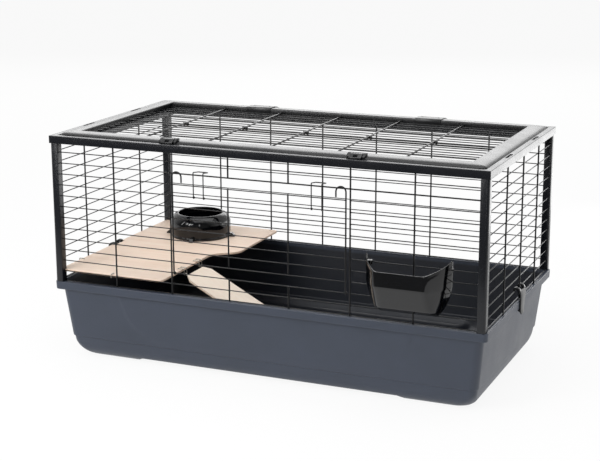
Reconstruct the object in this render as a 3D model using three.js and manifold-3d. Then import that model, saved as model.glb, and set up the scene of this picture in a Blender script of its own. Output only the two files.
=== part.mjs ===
// Ferret cage: a moulded plastic tub, a wire top on four corner posts with a hinged lid, a drop-down
// front door, a wooden platform and ramp inside, a food bowl on the platform and a hay rack on the
// front wires.
//
// Millimetres, +Z up. The origin is on the ground under the middle of the whole object, hay rack
// included. The front faces -Y, and the lid's hinges are at the back.

import * as THREE from 'three';
import { mergeVertices } from 'three/addons/utils/BufferGeometryUtils.js';
import Module from 'manifold-3d';

const wasm = await Module();
wasm.setup();

// ---------------------------------------------------------------- driving dimensions

const GAP = 0.3; // between pieces that touch or carry each other

// overall plan and heights
const FRAME_LENGTH = 1000; // top frame, outside, along X
const FRAME_DEPTH = 533; // top frame, outside, along Y
const TUB_HEIGHT = 180; // ground to the top of the rim
const WALL_HEIGHT = 314.8; // rim top to the underside of the top rails

// tub
const TUB_WALL = 3;
const RIM_OVERHANG_X = 2.4; // the rim stands out past the top frame at the ends
const RIM_OVERHANG_Y = -1; // and a little inside it at the front and back
const RIM_CORNER = 10;
const LIP_DEPTH = 18;
const LIP_THICKNESS = 2.8;
const RIM_LAND = 13; // flat top of the rim, from its outer edge to the inner wall
const BODY_CORNER = 18;
const FOOT_CORNER = 30;
const WALL_INSET_TOP = 8; // body wall from the top frame's outline, under the rim
const WALL_INSET_WAIST = 21.5;
const WAIST_HEIGHT = 49;
const WAIST_STEP = 2.5;
const FLOOR_THICKNESS = 3.5;
const POCKET_INSET = 52; // floor of the pocket over each foot, from the top frame's outline
const POCKET_HEEL = 9; // its edge slopes out this far
const ARCH_HEIGHT = 10; // opening under the tub between its feet
const ARCH_SLOPE = 23; // run of each sloped end of an arch
const FRONT_ARCH_HALF = 302;
const SIDE_ARCH_HALF = 50;
const POCKET_MARGIN = 14; // floor kept over an arch past its ends
const FLOOR_LEDGE_HEIGHT = 20; // rounded ledge above the floor, over the long arches
const FLOOR_LEDGE_DEPTH = 14;
const OVAL_HALF_WIDTH = 340; // shallow raised panel on the long walls
const OVAL_BOTTOM = 55;
const OVAL_CURVE = 110;
const OVAL_RAISE = 1;
const OVAL_TOP_MARGIN = 3;

// corner posts and top rails
const POST_SIZE = 18;
const POST_INSET_X = 2;
const POST_INSET_Y = 0.5;
const POST_ROUND = 6;
const RAIL_SKIRT = 17;
const RAIL_LEDGE = 14;
const RAIL_WALL = 2.5;
const LID_SEAT_DROP = 8.5; // from the ledge's top down to the flange that carries the lid
const LID_SEAT_WIDTH = 47;
const LID_SEAT_SKIRT = 13.5; // hangs from the flange's inner edge
const SEAT_THICKNESS = 2.8;
const LEDGE_SLOT_INSET = 4; // long slots in the ledge of each end rail
const LEDGE_SLOT_WIDTH = 7;
const LEDGE_SLOT_FROM = 84;
const LEDGE_SLOT_TO = 131;

// wire panels
const WIRE = 2.5; // rows, across their flats
const BAR_RADIUS = 2.1; // upright bars
const BAR_BITE = 0.5; // how far a bar is welded into a row
const ROW_PITCH = 24.6;
const ROW_COUNT = 12; // rows at the regular pitch, above the bottom one on the rim
const TOP_ROW_DROP = 20.2; // from the rail's underside down to the first row
const FRONT_BAR_PITCH = 137.7;
const REAR_BAR_SHIFT = 3.7; // the back wall's bars stand a little to the right
const SIDE_BAR_PITCH = 127;
const PANEL_INSET_FRONT = 10.5;
const PANEL_INSET_SIDE = 6;

// front door
const DOOR_JAMB_GAP = 7.45; // from each side rod to the wall's bar beside it, with the door in the middle
const DOOR_SHIFT = -1.8; // it hangs a little to the left
const DOOR_HINGE_ROW = 11;
const DOOR_TOP_ROW = 3;
const DOOR_BAR_X = 69;
const DOOR_BAR_SHIFT = -0.7; // its two bars, from its middle
const DOOR_FORWARD = 1; // its rows stand this far in front of the wall's
const ROD_RADIUS = 2;
const CURL_RADIUS = 11;
const CURL_TAIL = 12;
const EYE_THICKNESS = 2.2;
const EYE_WIDTH = 4;

// door hoops
const HOOP_RADIUS = 1.5;
const HOOP_WIDTH = 23.5;
const HOOP_INSETS = [62.9, 64.3]; // from the door's side rods
const HOOP_ROW = 4;
const HOOP_RISE = 55; // from its pivot wire to the bend
const HOOP_REACH = 22; // from the bend back over the wall's row
const HOOP_DIP = 3.5;

// lid
const LID_GAP = 0.6;
const LID_RING_WIDTH = 38;
const LID_CORNER = 16;
const LID_CROWN = 14.2; // ring height over its seat
const LID_SHELL = 2.6;
const LID_BAR_PITCH = 150;
const LID_BARS_EACH_SIDE = 2;
const LID_ROD_RADIUS = 2.6;
const LID_CLIP_LENGTH = 13;
const LID_CLIP_RADIUS = 4.6;
const LID_WIRE_HEIGHT = 4; // middle of its rows over the seat

// lid hinges and latches
const HINGE_X = 214;
const HINGE_LENGTH = 62;
const HINGE_LEAF = 1.6;
const HINGE_BARREL = 2.4;
const HINGE_PIN = 1;
const HINGE_SETBACK = 3; // axis behind the lid's outer edge
const HINGE_CLEARANCE = 0.4; // between its moving leaf and the lid's ring
const HINGE_FLAP_FOOT = 1.4; // its flap ends this far over the lid's underside
const LATCH_WIDTH = 27;
const LATCH_EAR = 6;
const LATCH_BARREL = 2.3;
const LATCH_TRUNNION = 1.3;
const LATCH_INSET = 13.9; // its axis, from the lid's outer edge
const LATCH_RISE = 2.8; // its axis over the ring's crown
const LATCH_REACH = 20; // its tongue, from the axis out over the rail's ledge
const LATCH_WINDOW = [10, 6];
const LATCH_LIP = 5; // its tongue stands out this far past its ears

// side clips
const CLIP_WIDTH = 42;
const CLIP_HOOK_WIDTH = 8;
const CLIP_THICKNESS = 2.6;
const CLIP_FOOT_WIDTH = 24; // it narrows downwards
const CLIP_TAIL = 13; // below the lip
const CLIP_CATCH = 6;

// platform, ramp and their hooks
const BOARD = 5;
const PLATFORM_RISE = 22; // rim top to the platform's underside
const PLATFORM_FRONT_WIDTH = 257; // from its left edge
const PLATFORM_REAR_WIDTH = 309;
const PLATFORM_ROUND = 9;
const CLIP_NOTCH = 8; // cut in the platform's edge, clear of a side clip's fingers
const WAVE_START = -28; // the curved step in the free edge
const WAVE_END = 48;
const HOOK_WIRE = 1.2; // radius
const HOOK_INSET = 10;
const HOOK_DROP = 7;
const PLATFORM_HOOK_IN = 133.5; // front and rear hooks, from its left edge
const PLATFORM_HOOK_ALONG = 89.5; // hooks on the left, from its front and rear edges
const RAMP_WIDTH = 106;
const RAMP_FROM_FRONT = 140.5; // its middle, from the platform's front edge
const RAMP_ANGLE = 28; // degrees below level
const RAMP_CHAMFER = 16;
const RAMP_AXIS_DROP = 7; // hinge wire below the platform
const RAMP_AXIS_OUT = 5; // hinge wire out from the platform's edge
const RAMP_EYE_SPREAD = 74;
const RAMP_END_GAP = 6; // from the hinge wire to the ramp's end
const RAMP_HOOK_WIDTH = 13;

// bowl
const BOWL_FROM_LEFT = 152.5; // its middle, from the platform's left edge
const BOWL_FROM_REAR = 111.5;
const BOWL_RADIUS = 72.5;
const BOWL_HEIGHT = 57;
const BOWL_MOUTH = 53.5;
const BOWL_WALL = 3;
const BOWL_SHOULDER = 18; // from its top down to its upright wall
const BOWL_HEEL = 14; // from its underside up to its upright wall, inside
const BOWL_TAB_TURN = 10; // degrees
const BOWL_TAB_REACH = 86.5;

// hay rack
const RACK_FROM_END = 165; // its middle, from the right end of the frame
const RACK_WALL = 2.4;
const RACK_BACK_HALF = 92;
const RACK_FRONT_HALF = 55;
const RACK_DEPTH = 63;
const RACK_BOTTOM = 24; // over the rim
const RACK_FRONT_TOP = 122;
const RACK_BACK_TOP = 143;
const RACK_CREASE = 91;
const RACK_LIP = 38;
const RACK_LIP_DEPTH = 30;
const RACK_HOOK_ROW = 8;
const RACK_HOOK_SPREAD = 86;
const RACK_HOOK_WIDTH = 9;
const RACK_HOOK_DROP = 8;
const RACK_HOOK_ROOT = 3; // how deep it is set in the rack's edge

// ---------------------------------------------------------------- derived places

const HALF_X = FRAME_LENGTH / 2;
const HALF_Y = FRAME_DEPTH / 2;
const RIM_Z = TUB_HEIGHT;
const RAIL_Z = RIM_Z + WALL_HEIGHT;
const LEDGE_Z = RAIL_Z + RAIL_SKIRT;
const SEAT_Z = LEDGE_Z - LID_SEAT_DROP;
const FRONT_ROW_Y = -(HALF_Y - PANEL_INSET_FRONT);
const SIDE_ROW_X = HALF_X - PANEL_INSET_SIDE;
const BAR_OFFSET = WIRE / 2 + BAR_RADIUS - BAR_BITE;
const JAMB_X = 1.5 * FRONT_BAR_PITCH; // the bars beside the door
const DOOR_HALF = JAMB_X - DOOR_JAMB_GAP;
const HOOP_CENTRES = [
  DOOR_SHIFT - DOOR_HALF + HOOP_INSETS[0],
  DOOR_SHIFT + DOOR_HALF - HOOP_INSETS[1],
];
const POST_IN_X = HALF_X - POST_INSET_X - POST_SIZE;
const POST_IN_Y = HALF_Y - POST_INSET_Y - POST_SIZE;
const BAR_TOP = RAIL_Z - GAP;
const BOTTOM_ROW_Z = RIM_Z + GAP + WIRE / 2;
const LID_INSET = RAIL_LEDGE + LID_GAP;
const LID_Z = SEAT_Z + GAP;
const LID_INNER_X = HALF_X - LID_INSET - LID_RING_WIDTH;
const LID_INNER_Y = HALF_Y - LID_INSET - LID_RING_WIDTH;
const LID_ROWS_EACH_SIDE = Math.floor((LID_INNER_Y - GAP - WIRE) / ROW_PITCH);
const HINGE_Y = HALF_Y - LID_INSET + HINGE_SETBACK;
const HINGE_Z = LEDGE_Z + GAP + HINGE_BARREL;
const PLATFORM_Z = RIM_Z + PLATFORM_RISE;
const PLATFORM_LEFT = -(SIDE_ROW_X - WIRE / 2 - GAP);
const PLATFORM_HALF_Y = -FRONT_ROW_Y - WIRE / 2 - GAP;
const PLATFORM_HOOK_X = PLATFORM_LEFT + PLATFORM_HOOK_IN;
const PLATFORM_HOOK_Y = PLATFORM_HALF_Y - PLATFORM_HOOK_ALONG;
const RAMP_MIDDLE_Y = RAMP_FROM_FRONT - PLATFORM_HALF_Y;
const BOWL_X = PLATFORM_LEFT + BOWL_FROM_LEFT;
const BOWL_Y = PLATFORM_HALF_Y - BOWL_FROM_REAR;
const RACK_X = HALF_X - RACK_FROM_END;
const RAMP_AXIS_X = PLATFORM_LEFT + PLATFORM_FRONT_WIDTH + RAMP_AXIS_OUT;
const RAMP_AXIS_Z = PLATFORM_Z - RAMP_AXIS_DROP;
const TUB_FLOOR_Z = ARCH_HEIGHT + FLOOR_THICKNESS;
const RACK_REAR_Y = FRONT_ROW_Y - BAR_OFFSET - BAR_RADIUS - GAP;
const MIDDLE_Y = (HALF_Y + RACK_REAR_Y - RACK_DEPTH) / 2; // of the whole object, from the tub's middle

/** Height of a row, counted from the top: 1 is under the rails. */
function rowZ(number) {
  return RAIL_Z - TOP_ROW_DROP - (number - 1) * ROW_PITCH;
}

const radians = THREE.MathUtils.degToRad;

// ---------------------------------------------------------------- shape tools

/** A closed geometry as a solid for joining and cutting. */
function solid(geometry) {
  const bare = new THREE.BufferGeometry();
  bare.setAttribute('position', geometry.getAttribute('position').clone());
  if (geometry.index) bare.setIndex(geometry.index.clone());
  const merged = mergeVertices(bare, 1e-4);
  return new wasm.Manifold(new wasm.Mesh({
    numProp: 3,
    vertProperties: new Float32Array(merged.getAttribute('position').array),
    triVerts: new Uint32Array(merged.index.array),
  }));
}

/** A joined or cut solid as a geometry. */
function geometryOf(body) {
  const mesh = body.getMesh();
  const geometry = new THREE.BufferGeometry();
  geometry.setAttribute('position', new THREE.BufferAttribute(new Float32Array(mesh.vertProperties), 3));
  geometry.setIndex(new THREE.BufferAttribute(new Uint32Array(mesh.triVerts), 1));
  geometry.computeVertexNormals();
  return geometry;
}

/** All the solids in a list as one. */
function join(bodies) {
  return bodies.reduce((whole, body) => whole.add(body));
}

/** An upright box between two corners. */
function block([x0, y0, z0], [x1, y1, z1]) {
  const box = new THREE.BoxGeometry(x1 - x0, y1 - y0, z1 - z0);
  return solid(box.translate((x0 + x1) / 2, (y0 + y1) / 2, (z0 + z1) / 2));
}

/** A straight round bar with a given number of sides. */
function bar(from, to, radius, sides = 6) {
  const start = new THREE.Vector3(...from);
  const end = new THREE.Vector3(...to);
  const along = end.clone().sub(start);
  const bare = new THREE.CylinderGeometry(radius, radius, along.length(), sides);
  const turn = new THREE.Quaternion().setFromUnitVectors(new THREE.Vector3(0, 1, 0), along.normalize());
  bare.applyQuaternion(turn);
  const middle = start.add(end).multiplyScalar(0.5);
  return solid(bare.translate(middle.x, middle.y, middle.z));
}

/** A bent wire through points in one plane, with small bends at its corners. */
function bentWire(points, radius, bend, sides = 6) {
  const corners = points.map((point) => new THREE.Vector3(...point));
  const path = new THREE.CurvePath();
  let from = corners[0];
  for (let i = 1; i < corners.length - 1; i += 1) {
    const before = corners[i].clone().lerp(corners[i - 1], bend / corners[i].distanceTo(corners[i - 1]));
    const after = corners[i].clone().lerp(corners[i + 1], bend / corners[i].distanceTo(corners[i + 1]));
    path.add(new THREE.LineCurve3(from, before));
    path.add(new THREE.QuadraticBezierCurve3(before, corners[i], after));
    from = after;
  }
  path.add(new THREE.LineCurve3(from, corners[corners.length - 1]));
  return sweep(path.curves.flatMap(curvePoints), radius, sides);
}

/** The points that one stretch of a bent wire needs: its start, and two more inside a bend. */
function curvePoints(curve, index, all) {
  const shares = curve.isQuadraticBezierCurve3 ? [0, 0.5] : [0];
  const points = shares.map((share) => curve.getPoint(share));
  return index === all.length - 1 ? [...points, curve.getPoint(1)] : points;
}

/** A round section carried along a list of points that lie in one plane. */
function sweep(points, radius, sides) {
  const line = points.map((point, i) => {
    const before = points[Math.max(i - 1, 0)];
    const after = points[Math.min(i + 1, points.length - 1)];
    return { point, along: after.clone().sub(before).normalize() };
  });
  const normal = planeNormal(points);
  const rings = line.map(({ point, along }, i) => {
    const side = new THREE.Vector3().crossVectors(along, normal).normalize();
    const open = i === 0 || i === points.length - 1;
    const stretch = open ? 1 : 1 / Math.cos(bendAngle(points[i - 1], point, points[i + 1]) / 2);
    return Array.from({ length: sides }, (_, k) => {
      const angle = (k / sides) * 2 * Math.PI;
      return point.clone()
        .addScaledVector(side, radius * stretch * Math.cos(angle))
        .addScaledVector(normal, radius * Math.sin(angle));
    });
  });
  return loft(rings);
}

/** The normal of the plane that a bent line lies in. */
function planeNormal(points) {
  const first = points[1].clone().sub(points[0]).normalize();
  for (let i = 2; i < points.length; i += 1) {
    const normal = first.clone().cross(points[i].clone().sub(points[0]));
    if (normal.length() > 0.5) return normal.normalize();
  }
  return new THREE.Vector3(0, 0, 1);
}

/** How far a line turns at its middle point. */
function bendAngle(before, point, after) {
  return point.clone().sub(before).angleTo(after.clone().sub(point));
}

/** A solid through rings of points, all with the same count, closed flat at both ends. */
function loft(rings) {
  const count = rings[0].length;
  const positions = rings.flat().flatMap((point) => [point.x, point.y, point.z]);
  const triangles = [];
  for (let ring = 0; ring < rings.length - 1; ring += 1) {
    for (let k = 0; k < count; k += 1) {
      const a = ring * count + k;
      const b = ring * count + ((k + 1) % count);
      triangles.push(a, b, b + count, a, b + count, a + count);
    }
  }
  const last = (rings.length - 1) * count;
  for (let k = 1; k < count - 1; k += 1) {
    triangles.push(0, k + 1, k);
    triangles.push(last, last + k, last + k + 1);
  }
  const geometry = new THREE.BufferGeometry();
  geometry.setAttribute('position', new THREE.Float32BufferAttribute(positions, 3));
  geometry.setIndex(signedVolume(positions, triangles) < 0 ? triangles.reverse() : triangles);
  return solid(geometry);
}

/** Six times the volume inside a triangle list, negative when its faces point in. */
function signedVolume(positions, triangles) {
  const corner = (i) => new THREE.Vector3().fromArray(positions, 3 * triangles[i]);
  let sum = 0;
  for (let i = 0; i < triangles.length; i += 3) {
    sum += corner(i).dot(corner(i + 1).cross(corner(i + 2)));
  }
  return sum;
}

/** A level rounded rectangle, counter-clockwise from +X. */
function roundedRing(halfX, halfY, radius, z, cornerSteps = 4) {
  const points = [];
  for (let quarter = 0; quarter < 4; quarter += 1) {
    const signX = quarter === 0 || quarter === 3 ? 1 : -1;
    const signY = quarter < 2 ? 1 : -1;
    for (let step = 0; step <= cornerSteps; step += 1) {
      const angle = (quarter + step / cornerSteps) * (Math.PI / 2);
      points.push(new THREE.Vector3(
        signX * (halfX - radius) + radius * Math.cos(angle),
        signY * (halfY - radius) + radius * Math.sin(angle),
        z,
      ));
    }
  }
  return points;
}

/** A flat outline in the YZ plane, carried along X and centred on x. */
function prismAlongX(outline, x, length) {
  const shape = new THREE.Shape(outline.map(([y, z]) => new THREE.Vector2(y, z)));
  const bare = new THREE.ExtrudeGeometry(shape, { depth: length, bevelEnabled: false });
  // the outline's first axis becomes Y, its second Z and its depth X
  bare.applyMatrix4(new THREE.Matrix4().set(0, 0, 1, x - length / 2, 1, 0, 0, 0, 0, 1, 0, 0, 0, 0, 0, 1));
  return solid(bare);
}

/** A flat outline in the XZ plane, carried along Y and centred on y. */
function prismAlongY(outline, y, length) {
  const shape = new THREE.Shape(outline.map(([x, z]) => new THREE.Vector2(x, z)));
  const bare = new THREE.ExtrudeGeometry(shape, { depth: length, bevelEnabled: false });
  bare.rotateX(Math.PI / 2).translate(0, y + length / 2, 0);
  return solid(bare);
}

/** A round eye about a wire, its axis along X through [y, z]. */
function eyeAlongX(x, y, z, hole, width = EYE_WIDTH, wall = EYE_THICKNESS) {
  const shape = new THREE.Shape().absarc(0, 0, hole + wall, 0, 2 * Math.PI);
  shape.holes.push(new THREE.Path().absarc(0, 0, hole, 0, 2 * Math.PI, true));
  const bare = new THREE.ExtrudeGeometry(shape, { depth: width, bevelEnabled: false, curveSegments: 8 });
  bare.applyMatrix4(new THREE.Matrix4().set(0, 0, 1, x - width / 2, 1, 0, 0, y, 0, 1, 0, z, 0, 0, 0, 1));
  return solid(bare);
}

/** A piece turned a number of degrees about the upright axis. */
function turned(body, degrees) {
  return body.rotate([0, 0, degrees]);
}

// ---------------------------------------------------------------- materials

const finish = (color, roughness, metalness = 0) => (
  new THREE.MeshStandardMaterial({ color, roughness, metalness })
);
const MATERIALS = {
  tub: finish(0x59626d, 0.42),
  frame: finish(0x1d1f22, 0.38),
  wire: finish(0x17181a, 0.45, 0.3),
  hook: finish(0x6f6a62, 0.4, 0.8),
  platform: finish(0xe6d3bd, 0.62),
  ramp: finish(0xede0cd, 0.62),
  gloss: finish(0x0b0c0e, 0.12),
  clip: finish(0x141517, 0.35),
};

const cage = new THREE.Group();

/** Adds one named piece to the cage. */
function addPiece(name, body, material) {
  const mesh = new THREE.Mesh(geometryOf(body.translate([0, -MIDDLE_Y, 0])), MATERIALS[material]);
  mesh.name = name;
  cage.add(mesh);
}

// ---------------------------------------------------------------- tub

/** The tub's outer wall as levels of [height, inset from the top frame's outline, corner radius]. */
function tubLevels() {
  const top = RIM_Z - TUB_WALL;
  return [
    [0, 62, FOOT_CORNER],
    [1.2, 54, FOOT_CORNER],
    [4.5, 45, FOOT_CORNER],
    [11, 36, FOOT_CORNER],
    [21, 29.5, FOOT_CORNER - 4],
    [34, WALL_INSET_WAIST + WAIST_STEP + 2, BODY_CORNER],
    [WAIST_HEIGHT - 1.5, WALL_INSET_WAIST + WAIST_STEP, BODY_CORNER],
    [WAIST_HEIGHT, WALL_INSET_WAIST, BODY_CORNER],
    [top, WALL_INSET_TOP, BODY_CORNER],
  ];
}

/** The tub's body, grown outwards by a given amount, as a solid block. */
function tubBody(grow) {
  return loft(tubLevels().map(([z, inset, radius]) => (
    roundedRing(HALF_X - inset + grow, HALF_Y - inset + grow, radius + grow, z)
  )));
}

/** One level near the foot of the room inside the tub. */
function pocketRing(inset, z) {
  return roundedRing(HALF_X - inset, HALF_Y - inset, FOOT_CORNER - TUB_WALL, z);
}

/** The room inside the tub: its wall set in, with deeper pockets over the feet. */
function tubRoom() {
  const floor = FLOOR_THICKNESS;
  const rings = tubLevels()
    .filter(([z]) => z > ARCH_HEIGHT)
    .map(([z, inset, radius]) => (
      roundedRing(HALF_X - inset - TUB_WALL, HALF_Y - inset - TUB_WALL, radius - TUB_WALL, z)
    ));
  const foot = pocketRing(POCKET_INSET, floor);
  const heel = pocketRing(POCKET_INSET - POCKET_HEEL, floor + TUB_WALL);
  const landX = HALF_X + RIM_OVERHANG_X - RIM_LAND;
  const landY = HALF_Y + RIM_OVERHANG_Y - RIM_LAND;
  const mouth = roundedRing(landX, landY, BODY_CORNER, RIM_Z + 1);
  const room = loft([foot, heel, ...rings, mouth]);
  const overFront = FRONT_ARCH_HALF + ARCH_SLOPE + POCKET_MARGIN;
  const overSide = SIDE_ARCH_HALF + ARCH_SLOPE + POCKET_MARGIN;
  const floorAcross = block([-overFront, -HALF_Y, 0], [overFront, HALF_Y, TUB_FLOOR_Z]);
  const floorAlong = block([-HALF_X, -overSide, 0], [HALF_X, overSide, TUB_FLOOR_Z]);
  return room.subtract(floorAcross).subtract(floorAlong);
}

/** The rim: a flat land with a lip hanging from its outer edge. */
function tubRim() {
  const outX = HALF_X + RIM_OVERHANG_X;
  const outY = HALF_Y + RIM_OVERHANG_Y;
  const under = RIM_Z - LIP_DEPTH;
  const edge = 1.4;
  const outside = loft([
    roundedRing(outX - 0.8, outY - 0.8, RIM_CORNER, under),
    roundedRing(outX, outY, RIM_CORNER, RIM_Z - edge),
    roundedRing(outX - edge, outY - edge, RIM_CORNER - edge, RIM_Z),
  ]);
  const behindLip = loft([
    roundedRing(outX - LIP_THICKNESS - 0.8, outY - LIP_THICKNESS - 0.8, RIM_CORNER - 2, under - 1),
    roundedRing(outX - LIP_THICKNESS, outY - LIP_THICKNESS, RIM_CORNER - 2, RIM_Z - TUB_WALL - 0.5),
  ]);
  return outside.subtract(behindLip);
}

/** A raised arch through the foot of the tub, as a trapezoid. */
function archOutline(half) {
  const foot = half + ARCH_SLOPE;
  return [[-foot, -1], [foot, -1], [foot, 0], [half, ARCH_HEIGHT], [-half, ARCH_HEIGHT], [-foot, 0]];
}

/** The rounded ledge inside a long wall, over the arch. */
function floorLedge(side) {
  const wall = HALF_Y - WALL_INSET_WAIST - WAIST_STEP - TUB_WALL;
  const face = wall - FLOOR_LEDGE_DEPTH;
  const top = TUB_FLOOR_Z + FLOOR_LEDGE_HEIGHT;
  const profile = [
    [wall + 1.5, TUB_FLOOR_Z - 1], [face, TUB_FLOOR_Z - 1], [face + 1, top - 8],
    [face + 3.5, top - 3.5], [face + 7.5, top - 1], [wall + 1.5, top],
  ];
  const foot = FRONT_ARCH_HALF + ARCH_SLOPE - 2;
  const ends = [
    [-foot, 0], [foot, 0], [foot, TUB_FLOOR_Z], [FRONT_ARCH_HALF - 4, top + 1],
    [4 - FRONT_ARCH_HALF, top + 1], [-foot, TUB_FLOOR_Z],
  ];
  const ledge = prismAlongX(profile, 0, 2 * foot).intersect(prismAlongY(ends, 0, 2 * HALF_Y));
  return side < 0 ? ledge : turned(ledge, 180);
}

/** The outline of the raised panel on a long wall: level on top, curved at its ends. */
function ovalOutline() {
  const top = RIM_Z - LIP_DEPTH - OVAL_TOP_MARGIN;
  const steps = 7;
  const right = Array.from({ length: steps + 1 }, (_, i) => {
    const angle = -(i / steps) * (Math.PI / 2);
    const x = OVAL_HALF_WIDTH - OVAL_CURVE + OVAL_CURVE * Math.cos(angle);
    return [x, top + (top - OVAL_BOTTOM) * Math.sin(angle)];
  });
  const left = right.map(([x, z]) => [-x, z]).reverse();
  return [...right, ...left];
}

function makeTub() {
  const raised = tubBody(OVAL_RAISE).intersect(prismAlongY(ovalOutline(), 0, 2 * HALF_Y));
  const shell = tubBody(0).add(tubRim()).add(raised).subtract(tubRoom());
  const arched = shell
    .subtract(prismAlongY(archOutline(FRONT_ARCH_HALF), 0, 2 * HALF_Y))
    .subtract(prismAlongX(archOutline(SIDE_ARCH_HALF), 0, 2 * HALF_X));
  addPiece('tub', join([arched, floorLedge(-1), floorLedge(1)]), 'tub');
}

// ---------------------------------------------------------------- posts and rails

const CORNERS = [
  ['front_left', -1, -1], ['front_right', 1, -1], ['rear_left', -1, 1], ['rear_right', 1, 1],
];

/** A corner post, square with its outer edge rounded. */
function makePost(name, signX, signY) {
  const shape = new THREE.Shape();
  shape.moveTo(POST_IN_X, POST_IN_Y);
  shape.lineTo(POST_IN_X + POST_SIZE, POST_IN_Y);
  const roundX = POST_IN_X + POST_SIZE - POST_ROUND;
  const roundY = POST_IN_Y + POST_SIZE - POST_ROUND;
  shape.absarc(roundX, roundY, POST_ROUND, 0, Math.PI / 2);
  shape.lineTo(POST_IN_X, POST_IN_Y + POST_SIZE);
  const height = WALL_HEIGHT - 2 * GAP;
  const bare = new THREE.ExtrudeGeometry(shape, { depth: height, bevelEnabled: false, curveSegments: 4 });
  const post = solid(bare.translate(0, 0, RIM_Z + GAP));
  const mirrored = signX < 0 ? post.mirror([1, 0, 0]) : post;
  addPiece(`corner_post_${name}`, signY < 0 ? mirrored.mirror([0, 1, 0]) : mirrored, 'frame');
}

/** The rail's section: a skirt, a ledge, a web, and the flange that carries the lid, with its own skirt. */
function railProfile() {
  const web = RAIL_LEDGE - RAIL_WALL;
  const seat = RAIL_LEDGE + LID_SEAT_WIDTH;
  return [
    [0, RAIL_Z], [RAIL_WALL, RAIL_Z], [RAIL_WALL, LEDGE_Z - RAIL_WALL], [web, LEDGE_Z - RAIL_WALL],
    [web, RAIL_Z], [RAIL_LEDGE, RAIL_Z], [RAIL_LEDGE, SEAT_Z - SEAT_THICKNESS],
    [seat - RAIL_WALL, SEAT_Z - SEAT_THICKNESS], [seat - RAIL_WALL, SEAT_Z - LID_SEAT_SKIRT],
    [seat, SEAT_Z - LID_SEAT_SKIRT], [seat, SEAT_Z], [RAIL_LEDGE, SEAT_Z], [RAIL_LEDGE, LEDGE_Z],
    [1, LEDGE_Z], [0, LEDGE_Z - 1],
  ];
}

/** The slots in the ledge of an end rail, one each side of its middle. */
function ledgeSlots(across) {
  const outer = LEDGE_SLOT_INSET - across;
  return [-1, 1].map((sign) => {
    const [from, to] = [sign * LEDGE_SLOT_FROM, sign * LEDGE_SLOT_TO].sort((a, b) => a - b);
    return block([from, outer, LEDGE_Z - 2 * RAIL_WALL], [to, outer + LEDGE_SLOT_WIDTH, LEDGE_Z + 1]);
  });
}

/** A rail along one side of the frame, mitred at both ends. */
function makeRail(name, half, across, degrees, slots = []) {
  const outline = railProfile().map(([inset, z]) => [inset - across, z]);
  const rail = slots.reduce((rest, slot) => rest.subtract(slot), prismAlongX(outline, 0, 2 * half));
  const reach = half + GAP;
  const mitre = (sign) => {
    const shape = new THREE.Shape();
    shape.moveTo(sign * (half - GAP / 2), -across);
    shape.lineTo(sign * (half - across - GAP / 2), 0);
    shape.lineTo(sign * reach, 0);
    shape.lineTo(sign * reach, -across - 1);
    const bare = new THREE.ExtrudeGeometry(shape, { depth: 2 * RAIL_SKIRT, bevelEnabled: false });
    return solid(bare.translate(0, 0, SEAT_Z - LID_SEAT_SKIRT - 1));
  };
  const cut = rail.subtract(mitre(1)).subtract(mitre(-1));
  addPiece(`top_rail_${name}`, turned(cut, degrees), 'frame');
}

function makeFrame() {
  CORNERS.forEach(([name, signX, signY]) => makePost(name, signX, signY));
  makeRail('front', HALF_X, HALF_Y, 0);
  makeRail('rear', HALF_X, HALF_Y, 180);
  makeRail('right', HALF_Y, HALF_X, 90, ledgeSlots(HALF_X));
  makeRail('left', HALF_Y, HALF_X, -90, ledgeSlots(HALF_X));
}

// ---------------------------------------------------------------- wire panels

/** A level wire along X, square in section, centred on x = 0. */
function levelWire(reach, y, z) {
  const half = WIRE / 2;
  return block([-reach, y - half, z - half], [reach, y + half, z + half]);
}

/** A welded panel that faces -Y at the origin: level rows, and upright bars in front of them. */
function weldedPanel(rows, bars) {
  const level = rows.map(({ z, from, to }) => (
    block([from, -WIRE / 2, z - WIRE / 2], [to, WIRE / 2, z + WIRE / 2])
  ));
  const upright = bars.map(({ x, from, to }) => (
    bar([x, -BAR_OFFSET, from], [x, -BAR_OFFSET, to], BAR_RADIUS)
  ));
  return join([...level, ...upright]);
}

/** Every row's height from the top, ending with the one that lies on the rim. */
function rowHeights() {
  const regular = Array.from({ length: ROW_COUNT }, (_, i) => rowZ(i + 1));
  return [...regular, BOTTOM_ROW_Z];
}

/** The bars of a panel, spread evenly about its middle. */
function barPlaces(count, pitch) {
  return Array.from({ length: count }, (_, i) => (i - (count - 1) / 2) * pitch);
}

const BAR_BOTTOM = BOTTOM_ROW_Z - WIRE / 2 + GAP;

/** A closed wall of wire for the back and the two ends. */
function plainPanel(half, bars, pitch, shift = 0) {
  const rows = rowHeights().map((z) => ({ z, from: -half, to: half }));
  const uprights = barPlaces(bars, pitch).map((x) => ({ x: x + shift, from: BAR_BOTTOM, to: BAR_TOP }));
  return weldedPanel(rows, uprights);
}

/** The front wall: rows cut away between the two bars beside the door. */
function frontPanel(half) {
  const places = barPlaces(6, FRONT_BAR_PITCH);
  const jamb = JAMB_X;
  const rows = rowHeights().flatMap((z, i) => {
    const number = i + 1;
    const besideDoor = number >= DOOR_TOP_ROW && number < DOOR_HINGE_ROW;
    const end = jamb + BAR_RADIUS;
    return besideDoor
      ? [{ z, from: -half, to: -end }, { z, from: end, to: half }]
      : [{ z, from: -half, to: half }];
  });
  const bars = places.flatMap((x) => {
    const overDoor = Math.abs(x) < jamb - 1;
    return overDoor
      ? [
        { x, from: rowZ(DOOR_TOP_ROW - 1) - WIRE / 2, to: BAR_TOP },
        { x, from: BAR_BOTTOM, to: rowZ(DOOR_HINGE_ROW) + WIRE / 2 },
      ]
      : [{ x, from: BAR_BOTTOM, to: BAR_TOP }];
  });
  return weldedPanel(rows, bars);
}

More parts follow.
